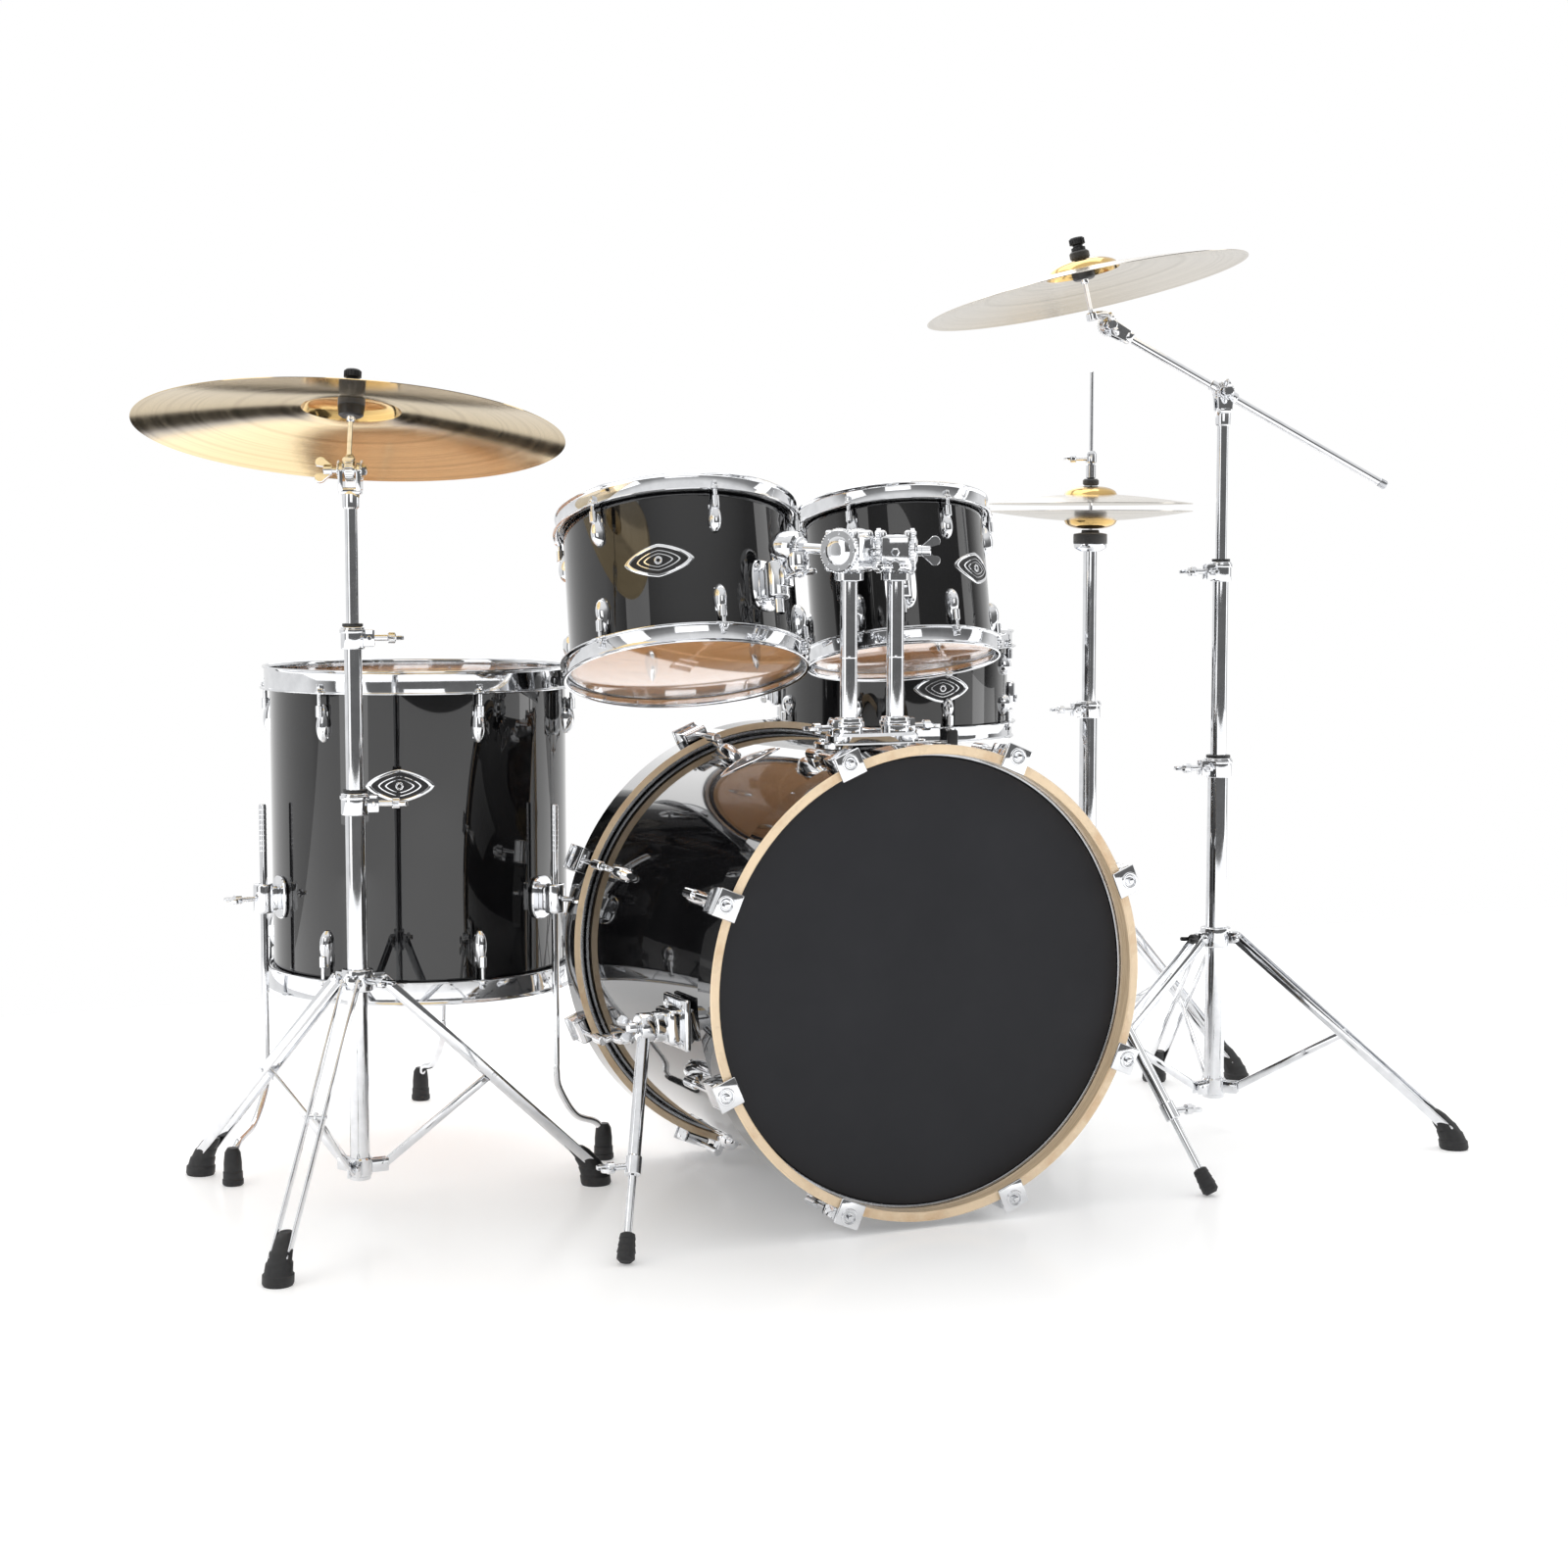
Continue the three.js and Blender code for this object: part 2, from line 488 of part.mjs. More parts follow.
/** A tripod that doesn't fold, every leg and brace in one piece with its collar and hub. */
function fixedTripod({ collar, hub, outer, bore, legs }) {
  const top = ring(bore, outer + 6, collar - 14, collar + 14);
  const bottom = tube(hub - 12, hub + 12, outer + 3);
  const limbs = legs.flatMap(({ azimuth, reach }) => {
    const ear = block([LEG.hinge, 2 * LEG.strips + 3, 16], [LEG.hinge / 2 + outer - 1, 0, collar]);
    const brace = strip([outer, hub], braceMeets(collar, reach), 2 * LEG.strips - 1, 10);
    return [ear, tripodLeg(collar, reach), brace].map((part) => part.rotateZ(radians(azimuth)));
  });
  const core = tube(hub - 12, collar + 14, outer);
  return cut(join(top, bottom, core, ...limbs), rod([0, 0, hub - 2], [0, 0, collar + 60], bore));
}

/** The stem of a stand above its tripod: the rest of the base tube with its clamp. */
function stem(collar, clampZ, outer, bore, turn = 0) {
  return [ring(bore, outer, collar, clampZ), ...clamp(clampZ, bore, outer + 5, turn)];
}

/** Cymbal profile above its edge plane, with a hole in the bell. */
function cymbalShape({ radius, bell, bow, height }) {
  const upper = [
    [6.5, height], [bell * 0.55, height - 3], [bell, bow], [radius * 0.6, bow * 0.52], [radius, 0],
  ];
  const lower = upper.map(([r, z]) => [r, z - 2]).reverse();
  return turned([...upper, ...lower], DRUM_SIDES);
}

/** The threaded rod, cup, felts and wing nut of a cymbal, along Z from its edge plane's centre. */
function cymbalSeat(height, below) {
  const seat = height - 2 - 1.6;
  return [
    rod([0, 0, -below], [0, 0, height + 30], 3.6, 6),
    rod([0, 0, seat - 14], [0, 0, seat], 13, 8),
    rod([0, 0, height + 1.6], [0, 0, height + 13], 13, 8),
    rod([0, 0, height + 12], [0, 0, height + 22], 8, 6),
    block([36, 6, 10], [0, 0, height + 25]),
  ];
}

function cymbal(name, shape, place, material) {
  const hang = shape.height - 1;
  const group = frame(along(place.centre, place.axis, hang).toArray(), place.axis);
  piece(group, name, geometryOf(solid(cymbalShape(shape).translate(0, 0, -hang))), material);
}

/** A tilter turns on the stand's pivot and holds the seat on the cymbal's axis. */
function tilter(name, pivot, azimuth, shape, place) {
  const group = frame(pivot, [0, 0, 1], azimuth);
  const seatFrame = frame(place.centre, place.axis);
  const toGroup = group.matrixWorld.clone().invert().multiply(seatFrame.matrixWorld);
  kit.remove(seatFrame);
  const below = 40;
  const seat = cymbalSeat(shape.height, below).map((part) => part.applyMatrix4(toGroup));
  const stub = vector([0, 0, -below + 3]).applyMatrix4(toGroup).toArray();
  const hub = rod([-7, 0, 0], [7, 0, 0], 13, 8);
  const neck = [rod([0, 0, 0], [0, 0, 18], 6, 6), rod([0, 0, 15], stub, 5, 6)];
  piece(group, name, join(...seat, hub, ...pivotBolt(), ...neck), CHROME);
}

/** A tilter's bolt through its ears, along X, with its wing. */
function pivotBolt() {
  return [rod([-26, 0, 0], [18, 0, 0], 4, 6), block([6, 10, 34], [-27, 0, 0])];
}

/** Two ears round a tilter's hub, in the tilter's own frame. */
function tilterEars(pivotZ) {
  const ears = [-11, 11].map((x) => cut(
    block([6, 24, 36], [x, 0, pivotZ - 10]),
    rod([x - 5, 0, pivotZ], [x + 5, 0, pivotZ], 5.2, 6),
  ));
  return [...ears, block([28, 16, 8], [0, 0, pivotZ - 26])];
}

/** A cymbal stand's two upper tubes: the middle one with its clamp, the top one with its ears. */
function upperTubes(name, at, { middleLow, topLow, clampTurn }, clampHigh, pivot, azimuth) {
  const middle = tube(middleLow, clampHigh, TUBE.middle, TUBE.middleBore);
  const middleClamp = clamp(clampHigh, TUBE.middleBore, 15, clampTurn);
  piece(frame(at), `${name}_middle_tube`, join(middle, ...middleClamp), CHROME);
  const top = tube(topLow, pivot - 24, TUBE.top).rotateZ(radians(-azimuth));
  piece(frame(at, [0, 0, 1], azimuth), `${name}_top_tube`, join(top, ...tilterEars(pivot)), CHROME);
}

function rideStand() {
  const { at, clampLow, clampHigh, pivot, collar, hub } = RIDE;
  const bore = TUBE.baseBore;
  const tripod = fixedTripod({ collar, hub, outer: TUBE.base, bore, legs: RIDE_LEGS });
  const above = stem(collar, clampLow, TUBE.base, bore, RIDE_TUBES.clampTurn);
  piece(frame(at), "ride_stand_base", join(tripod, ...above), CHROME);
  const azimuth = RIDE_TUBES.tilterAzimuth;
  upperTubes("ride", at, RIDE_TUBES, clampHigh, pivot, azimuth);
  tilter("ride_tilter", [at[0], at[1], pivot], azimuth, RIDE_CYMBAL, RIDE_PLACE);
  cymbal("ride_cymbal", RIDE_CYMBAL, RIDE_PLACE, RIDE_BRONZE);
}

/** The crash stand's base tube and the tripod that folds on it. */
function crashTripod() {
  const { at, clampLow, collar, hub } = CRASH;
  const [outer, bore] = [TUBE.wideBase, TUBE.baseBore];
  const cheeks = braceHub(hub, outer, CRASH_LEGS);
  const lower = join(tube(hub - 12, clampLow, outer, bore), ...cheeks, ...clamp(clampLow, bore, outer + 5));
  piece(frame(at), "crash_stand_base", cut(lower, rod([0, 0, hub - 2], [0, 0, clampLow], bore)), CHROME);
  const slider = frame([at[0], at[1], collar]);
  piece(slider, "crash_leg_collar", join(...legCollar(0, outer + 0.9, 22, CRASH_LEGS)), CHROME);
  CRASH_LEGS.forEach((azimuth, i) => {
    const heading = vector([Math.cos(radians(azimuth)), Math.sin(radians(azimuth)), 0]);
    const origin = vector(at);
    const hinge = origin.clone().addScaledVector(heading, LEG.hinge).setZ(collar);
    const leg = frame(hinge.toArray(), [0, 0, 1], azimuth);
    const shape = tripodLeg(collar, CRASH_REACH).translate(-LEG.hinge, 0, -collar);
    piece(leg, `crash_leg_${i + 1}`, shape, CHROME);
    const foot = origin.clone().addScaledVector(heading, LEG.hinge).setZ(hub);
    const brace = frame(foot.toArray(), [0, 0, 1], azimuth);
    const link = tripodBrace(hub, collar, CRASH_REACH).translate(-LEG.hinge, 0, -hub);
    piece(brace, `crash_brace_${i + 1}`, link, CHROME);
  });
}

function crashBoom() {
  const { at, clampHigh, boom } = CRASH;
  const run = vector(BOOM_END).sub(vector(BOOM_TIP));
  const across = (Math.atan2(run.y, run.x) * 180) / Math.PI + 90; // azimuth of the boom's tilting axis
  upperTubes("crash", at, CRASH_TUBES, clampHigh, boom, across);
  const arm = frame([at[0], at[1], boom], [0, 0, 1], across);
  const [tip, end] = [inside(arm, BOOM_TIP), inside(arm, BOOM_END)];
  const knuckle = rod([-7, 0, 0], [7, 0, 0], 13, 8);
  const direction = vector(end).sub(vector(tip)).normalize();
  const root = vector(tip).addScaledVector(direction, 30).toArray();
  const bar = rod(root, end, 5.5, 8);
  piece(arm, "crash_boom", join(knuckle, ...pivotBolt(), bar, ...boomFork(tip, root)), CHROME);
  tilter("crash_tilter", BOOM_TIP, across, CRASH_CYMBAL, CRASH_PLACE);
  cymbal("crash_cymbal", CRASH_CYMBAL, CRASH_PLACE, CRASH_BRONZE);
}

/** The fork at the boom's upper end that holds the tilter's hub. */
function boomFork(tip, root) {
  const ears = [-11, 11].map((x) => cut(
    strip([0, 0], [0, 40], 6, 24).rotateZ(Math.PI / 2).translate(0, 0, -6),
    rod([-5, 0, 0], [5, 0, 0], 5.2, 6),
  ).rotateX(Math.atan2(-(root[1] - tip[1]), root[2] - tip[2])).translate(tip[0] + x, tip[1], tip[2]));
  return [...ears, block([28, 12, 12], root)];
}

/** The hi-hat's tripod with its pedal frame, and the footboard. */
function hiHatBase() {
  const { at, clampZ } = HIHAT;
  const { azimuth, heel, heelZ, width, rise, link } = HIHAT_PEDAL;
  const [outer, bore] = [TUBE.wideBase, TUBE.baseBore];
  const cheeks = [-40, 40].map((y) => cut(
    block([22, 8, 30], [heel, y, 15]),
    rod([heel, y - 6, heelZ], [heel, y + 6, heelZ], 4.2, 8),
  ));
  const pedal = [
    block([270, 60, 6], [176, 0, 3]),
    block([16, 12, link + 2], [48, 0, (link + 6) / 2]),
    block([20, 88, 6], [heel, 0, 3]),
    rod([0, 0, link], [55, 0, link], 7, 8),
    ...cheeks,
  ].map((part) => part.rotateZ(radians(azimuth)));
  const tripod = fixedTripod({ ...HIHAT_TRIPOD, outer, bore, legs: HIHAT_LEGS });
  const lower = join(tripod, ...stem(HIHAT_TRIPOD.collar, clampZ, outer, bore), ...pedal);
  const channel = rod([0, 0, HIHAT_TRIPOD.hub - 2], [0, 0, clampZ], bore);
  piece(frame(at), "hihat_stand_base", cut(lower, channel), CHROME);

  const heading = radians(azimuth);
  const hinge = [at[0] + Math.cos(heading) * heel, at[1] + Math.sin(heading) * heel, heelZ];
  const board = frame(hinge, [0, 0, 1], azimuth - 90); // X across the board, Y away from the stand
  const plate = block([width, 216, 5], [0, -132, 0]).rotateX(-radians(rise));
  const tongue = block([60, 34, 5], [0, -12, 0]).rotateX(-radians(rise));
  piece(board, "hihat_footboard", join(plate, tongue, rod([-43, 0, 0], [43, 0, 0], 3.2, 8)), CHROME);
}

function hiHatTop() {
  const { at, seat, lowEdge, highEdge, rodLow, rodTop } = HIHAT;
  const upper = frame(at);
  const cup = turned([
    [4.8, seat], [26, seat], [26, seat + 14],
    [14, seat + 20], [14, seat + 34], [4.8, seat + 34],
  ], TUBE_SIDES);
  piece(upper, "hihat_upper_tube", join(ring(4.8, TUBE.middle, 330, seat + 2), cup), CHROME);

  const low = frame([at[0], at[1], lowEdge]);
  const lowShape = cymbalShape(HIHAT_CYMBAL).rotateX(Math.PI);
  piece(low, "hihat_bottom_cymbal", geometryOf(solid(lowShape)), CRASH_BRONZE);

  const pull = frame(at);
  const bell = highEdge + HIHAT_CYMBAL.height;
  const clutch = [
    rod([0, 0, bell + GAP], [0, 0, bell + 14], 13, 10),
    rod([0, 0, bell + 12], [0, 0, bell + 58], 8, 8),
    block([40, 7, 12], [0, 0, bell + 44]),
    rod([0, 0, bell - 16], [0, 0, bell - 4], 12, 8),
  ];
  piece(pull, "hihat_rod", join(rod([0, 0, rodLow], [0, 0, rodTop], 3.2, 8), ...clutch), CHROME);
  const high = frame([at[0], at[1], highEdge]);
  piece(high, "hihat_top_cymbal", geometryOf(solid(cymbalShape(HIHAT_CYMBAL))), CRASH_BRONZE);
}

function snareStand() {
  const [x, y] = SNARE_PLACE.centre;
  const { clampZ, collar, hub, basket: hubZ, bore, post: postRadius, postLow } = SNARE_STAND;
  const tripod = fixedTripod({ collar, hub, outer: TUBE.base, bore, legs: SNARE_LEGS });
  const upright = stem(collar, clampZ, TUBE.base, bore);
  piece(frame([x, y, 0]), "snare_stand_base", join(tripod, ...upright), CHROME);

  const basket = frame([x, y, 0]);
  const rest = SNARE_PLACE.centre[2] - SNARE.length / 2 - SNARE.rim - GAP;
  const grip = SNARE.radius + 14 + 3;
  const arms = [30, 150, 270].flatMap((azimuth) => [
    strip([0, hubZ], [grip - 4, rest - 6], 14, 10),
    block([34, 16, 8], [grip - 10, 0, rest - 4]),
    block([6, 16, 30], [grip + 4, 0, rest + 7]),
  ].map((part) => part.rotateZ(radians(azimuth))));
  const post = [tube(postLow, hubZ, postRadius), rod([0, 0, hubZ - 14], [0, 0, hubZ + 10], 20, 10)];
  piece(basket, "snare_basket", join(...post, ...arms), CHROME);
}

bassDrum();
spurs();
kickPedal();
mountedTom("tom_1", -1, TOM_1, TOM_1_PLACE, TOM_1_BRACKET);
mountedTom("tom_2", 1, TOM_2, TOM_2_PLACE, TOM_2_BRACKET);
floorTom();
snareDrum();
snareStand();
hiHatBase();
hiHatTop();
rideStand();
crashTripod();
crashBoom();

// the origin is on the floor under the middle of the kit
kit.updateMatrixWorld(true);
const bounds = new THREE.Box3().setFromObject(kit, true);
const middle = bounds.getCenter(new THREE.Vector3());
kit.position.set(-middle.x, -middle.y, -bounds.min.z);

export default kit;
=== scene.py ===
"""The looks of an acoustic drum kit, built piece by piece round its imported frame.
"""

import math

import bmesh
import bpy
from mathutils import Matrix, Vector

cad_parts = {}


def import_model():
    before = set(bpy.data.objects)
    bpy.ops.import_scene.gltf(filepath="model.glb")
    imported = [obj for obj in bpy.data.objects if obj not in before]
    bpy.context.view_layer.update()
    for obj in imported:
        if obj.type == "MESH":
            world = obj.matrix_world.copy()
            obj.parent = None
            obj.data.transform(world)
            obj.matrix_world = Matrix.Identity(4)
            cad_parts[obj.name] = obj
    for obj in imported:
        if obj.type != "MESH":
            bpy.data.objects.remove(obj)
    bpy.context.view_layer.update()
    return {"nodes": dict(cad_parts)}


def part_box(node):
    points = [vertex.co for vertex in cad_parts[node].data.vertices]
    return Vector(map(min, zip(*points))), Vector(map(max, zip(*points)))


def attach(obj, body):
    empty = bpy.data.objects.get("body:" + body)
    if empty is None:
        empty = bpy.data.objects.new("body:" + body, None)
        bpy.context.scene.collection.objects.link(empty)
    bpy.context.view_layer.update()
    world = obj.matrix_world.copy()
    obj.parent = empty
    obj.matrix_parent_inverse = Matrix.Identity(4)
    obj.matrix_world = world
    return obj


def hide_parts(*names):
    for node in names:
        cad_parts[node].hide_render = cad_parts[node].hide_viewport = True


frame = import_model()

# ---------- driving dimensions ----------
MM = 0.001
INCH = 25.4
shell_low, shell_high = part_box("bass_shell")
KIT = Vector(((shell_low.x + shell_high.x) / 2, (shell_low.y + shell_high.y) / 2, 0))
VIEW_AZIMUTH = -24.44
VIEW_DOWN = 5.13
CAMERA_AT = (-1527, -3174, 848)
LENS = 62.08
FLOOR_GLOW = (0.28, 0.75)
GLOW_FROM_TO = (0.8, 1.9)  # metres from the middle where the glow starts to grow and where it is full
# how bright the room is by height, from -1 straight down to 1 straight up
FRONT = ((-1, 0.8), (-0.2, 0.5), (-0.05, 0.14), (0.25, 0.16), (0.45, 0.3), (0.62, 0.85), (1, 1))
BACK = ((-1, 0.8), (-0.1, 0.8), (0.1, 0.85), (1, 1))
BAND_TINT = (0.86, 0.97, 1.35)  # a cooler floor below the band
BACK_WITH_BAND = ((-1, BAND_TINT), (-0.52, BAND_TINT), (-0.5, 0.02), (-0.415, 0.02), (-0.4, 0.85), (1, 1))

BASS = {"radius": 11 * INCH, "half": 228.6, "height": 305, "hoop": 296, "inside": 284, "front": 255}
# the places of the bass drum's claws and lugs round its axis
BASS_TURNS = [22.5 + 45 * i for i in range(8)]
SPUR_HINGE = (329, -125, 255)
SPUR_FOOT = (409, -263, 0)
HOLDER = {"apart": 33, "y": -85, "top": 625, "low": 490, "high": 806, "tilter": 832}
TOM_1 = {"radius": 6 * INCH, "length": 203, "rim": 12.5, "lugs": 6, "inset": 44, "pod": 40}
TOM_1_PLACE = {"centre": (-159, 167, 778), "axis": (0.062, 0.314, 0.947), "azimuth": 265.6, "bracket": 291,
               "badge": 237}
TOM_2 = {"radius": 5 * INCH, "length": 203, "rim": 12.5, "lugs": 6, "inset": 44, "pod": 40}
TOM_2_PLACE = {"centre": (208, 255, 787), "axis": (0.034, 0.242, 0.97), "azimuth": 276.6, "bracket": 243.7,
               "badge": 302}
FLOOR_TOM = {"radius": 8 * INCH, "length": 406.4, "rim": 19, "lugs": 6, "inset": 52, "pod": 46}
FLOOR_PLACE = {"centre": (-437, 452, 456.7), "axis": (0, 0, 1), "azimuth": 275.6}
FLOOR_LEG = {"out": 228, "top": 494, "bracket": 366, "azimuth": (185.6, 305.6, 65.6)}
FLOOR_SPLAY = ((-72, -102), (68, 1), (-7, 95))
SNARE = {"radius": 7 * INCH, "length": 140, "rim": 13, "lugs": 8, "inset": 38, "pod": 30}
SNARE_PLACE = {"centre": (375, 600, 628), "axis": (0, 0, 1), "azimuth": 270.6}
STRAINER_AZIMUTH = 157.6
WALL, BASS_WALL = 6, 7
# radii of the stands' tubes and of the holes in them
NARROW_TUBE, WIDE_TUBE, MIDDLE_TUBE, TOP_TUBE = 12.7, 14.3, 11.1, 7.95
LOWER_BORE, MIDDLE_BORE = 11.9, 8.8
RIDE = {"at": (-620, 122, 0), "low": 520, "high": 728, "pivot": 936, "collar": 297, "hub": 58,
        "tube": NARROW_TUBE, "middle_from": 300, "top_from": 500, "clamp_turn": 165}
RIDE_EARS = 335  # azimuth of the ride tilter's pin
RIDE_SHAPE = {"radius": 10.5 * INCH, "bell": 62, "bow": 30, "height": 48}
RIDE_PLACE = {"centre": (-618, 128, 982), "axis": (0.105, 0.171, 0.98)}
RIDE_LEGS = ((238.7, 346), (116.5, 318), (2.1, 323))
CRASH = {"at": (640, 89, 0), "low": 525, "high": 805, "pivot": 1059, "collar": 280, "hub": 62,
         "tube": WIDE_TUBE, "middle_from": 350, "top_from": 620, "clamp_turn": 0}
CRASH_SHAPE = {"radius": 9 * INCH, "bell": 52, "bow": 26, "height": 44}
CRASH_PLACE = {"centre": (452, 152, 1198), "axis": (-0.163, 0.131, 0.978)}
CRASH_LEGS = ((-48, 345), (72, 345), (192, 345))
BOOM_TIP = (482, 144, 1150)
BOOM_END = (866, 14, 928)
HIHAT = {"at": (757, 646, 0), "clamp": 574, "seat": 832, "low": 896, "high": 909, "top": 1122, "collar": 270,
         "hub": 60, "upper_from": 330, "rod_from": 665}
HIHAT_SHAPE = {"radius": 6.5 * INCH, "bell": 43, "bow": 14, "height": 28}
HIHAT_LEGS = ((-69.5, 305), (50.5, 305), (170.5, 305))
HIHAT_PEDAL = 110.5
SNARE_STAND = {"clamp": 330, "collar": 225, "basket": 506, "hub": 56, "basket_from": 150}
SNARE_LEGS = ((90, 230), (-30, 230), (210, 230))
PEDAL = {"axle": (0, 285, 180), "shaft": 180, "lean": 40, "heel": (0, 545, 22), "board": 240, "rise": 18}
ASIDE = 500  # where plates are rounded, clear of the axis
HINGE_OUT = 32  # a tripod leg's hinge from its tube's axis
LEG_APART = 10  # each flat of a leg from the leg's middle
BADGE = (92, 44)  # width and height
GROOVES = 2600.0  # a cymbal's turning marks, in radians for each metre of radius
LIT_POINT = (0, 0, 0.6)  # what every lamp looks at, in metres
FLOOR_BACK = 1.4


# ---------- shapes: lists of vertices and faces, in millimetres ----------
def rounded(points, radius, steps=3):
    """A closed outline with its corners rounded; points on the axis stay."""
    out = []
    for i, point in enumerate(points):
        here, before, after = Vector(point), Vector(points[i - 1]), Vector(points[(i + 1) % len(points)])
        if here.x < 1e-6:
            out.append(here)
            continue
        back, ahead = before - here, after - here
        reach = min(radius, back.length * 0.45, ahead.length * 0.45)
        start, end = here + back.normalized() * reach, here + ahead.normalized() * reach
        for s in range(steps + 1):
            t = s / steps
            out.append(start * (1 - t) ** 2 + here * 2 * t * (1 - t) + end * t * t)
    return [(p.x, p.y) for p in out]


def lathe(profile, segments=64):
    """A closed [radius, height] outline turned about Z."""
    n = len(profile)
    verts = []
    for i in range(segments):
        angle = 2 * math.pi * i / segments
        verts += [(r * math.cos(angle), r * math.sin(angle), z) for r, z in profile]
    faces = []
    for i in range(segments):
        j = (i + 1) % segments
        faces += [(i * n + k, j * n + k, j * n + (k + 1) % n, i * n + (k + 1) % n) for k in range(n)]
    return verts, faces


def disc_stack(levels, segments=32):
    """A solid of revolution through [radius, height] levels, closed at both ends."""
    return lathe([(0, levels[0][1])] + list(levels) + [(0, levels[-1][1])], segments)


def puck(radius, low, high, edge, segments):
    """A round block with chamfered rims."""
    levels = [(radius - edge, low), (radius, low + edge), (radius, high - edge), (radius - edge, high)]
    return disc_stack(levels, segments)


def ring(inner, outer, low, high, segments=64, soft=0.8):
    return lathe(rounded([(inner, low), (outer, low), (outer, high), (inner, high)], soft), segments)


def loft(sections, closed_ends=True):
    """Faces between rings of equally many points."""
    n = len(sections[0])
    verts = [tuple(p) for section in sections for p in section]
    faces = []
    for s in range(len(sections) - 1):
        low, high = s * n, (s + 1) * n
        faces += [(low + k, low + (k + 1) % n, high + (k + 1) % n, high + k) for k in range(n)]
    if closed_ends:
        faces.append(tuple(range(n))[::-1])
        faces.append(tuple(range((len(sections) - 1) * n, len(sections) * n)))
    return verts, faces


def axes_along(direction):
    """Three square axes, the last one along the direction."""
    z = direction.normalized()
    side = Vector((0, 0, 1)).cross(z)
    if side.length < 1e-3:
        side = Vector((1, 0, 0)).cross(z) if abs(z.x) < 0.9 else Vector((0, 1, 0)).cross(z)
    x = side.normalized()
    return x, z.cross(x), z


def sweep(path, radii, sides=20, squash=1.0):
    """A round bar along a path, its radius given once or for every point."""
    points = [Vector(p) for p in path]
    sizes = radii if isinstance(radii, (list, tuple)) else [radii] * len(points)
    x, y, z = axes_along(points[1] - points[0])
    sections = []
    for i, point in enumerate(points):
        ahead = points[min(i + 1, len(points) - 1)] - points[max(i - 1, 0)]
        turn = z.rotation_difference(ahead.normalized())
        x, y, z = turn @ x, turn @ y, ahead.normalized()
        angles = [2 * math.pi * k / sides for k in range(sides)]
        sections.append([point + (x * math.cos(a) + y * math.sin(a) * squash) * sizes[i] for a in angles])
    return loft(sections)


def bar(start, end, radius, sides=24, edge=0.8):
    """A straight round bar with chamfered ends."""
    a, b = Vector(start), Vector(end)
    step = (b - a).normalized() * edge
    return sweep([a, a + step, b - step, b], [radius - edge, radius, radius, radius - edge], sides)


def curve_points(points, each=8):
    """A smooth Catmull-Rom path through the points."""
    known = [Vector(p) for p in points]
    known = [known[0] * 2 - known[1]] + known + [known[-1] * 2 - known[-2]]
    out = []
    for i in range(1, len(known) - 2):
        p0, p1, p2, p3 = known[i - 1:i + 3]
        for s in range(each):
            t = s / each
            out.append(
                0.5 * ((2 * p1) + (p2 - p0) * t + (2 * p0 - 5 * p1 + 4 * p2 - p3) * t * t
                       + (3 * p1 - p0 - 3 * p2 + p3) * t ** 3))
    out.append(known[-2])
    return out


def slab(size, centre=(0, 0, 0), edge=1.2, steps=2):
    """A block with rounded edges."""
    bm = bmesh.new()
    bmesh.ops.create_cube(bm, size=1)
    bmesh.ops.scale(bm, vec=size, verts=bm.verts)
    reach = min(edge, min(size) * 0.45)
    bmesh.ops.bevel(bm, geom=bm.edges[:], offset=reach, segments=steps, profile=0.5, affect="EDGES")
    bmesh.ops.translate(bm, vec=centre, verts=bm.verts)
    verts = [tuple(v.co) for v in bm.verts]
    bm.verts.index_update()
    faces = [tuple(v.index for v in f.verts) for f in bm.faces]
    bm.free()
    return verts, faces


def plate(outline, thick, edge=0.6):
    """A flat outline in XY, thickened along Z about its middle, with chamfered rims."""
    middle = sum((Vector(p) for p in outline), Vector((0, 0))) / len(outline)
    spokes = [Vector(p) - middle for p in outline]
    inner = [middle + spoke * (1 - edge / max(spoke.length, 1)) for spoke in spokes]
    half = thick / 2
    levels = [(inner, -half), (outline, -half + edge), (outline, half - edge), (inner, half)]
    return loft([[(p[0], p[1], z) for p in points] for points, z in levels])


def rounded_plate(outline, radius, steps, thick, edge):
    """A plate with rounded corners; rounded() leaves points at x = 0 alone, so it works to one side."""
    moved = rounded([(x + ASIDE, y) for x, y in outline], radius, steps)
    return Shape(plate(moved, thick, edge), at(-ASIDE))


def pod(length, width, depth, taper, steps=14, sides=24):
    """A teardrop along Z, half sunk in its base plane x = 0, its narrow end at +Z."""
    sections = []
    for i in range(steps + 1):
        t = i / steps
        swell = math.sin(math.pi * min(1, t * 0.94 + 0.03)) ** 0.45
        lean = 1 - (1 - taper) * t
        angles = [2 * math.pi * k / sides for k in range(sides)]
        sections.append([
            (depth * swell * lean * math.cos(a), width / 2 * swell * lean * math.sin(a), (t - 0.5) * length)
            for a in angles])
    return loft(sections)


def oval(width, height, power=2.4, count=40):
    points = []
    for k in range(count):
        a = 2 * math.pi * k / count
        c, s = math.cos(a), math.sin(a)
        points.append((width / 2 * math.copysign(abs(c) ** (2 / power), c),
                       height / 2 * math.copysign(abs(s) ** (2 / power), s)))
    return points


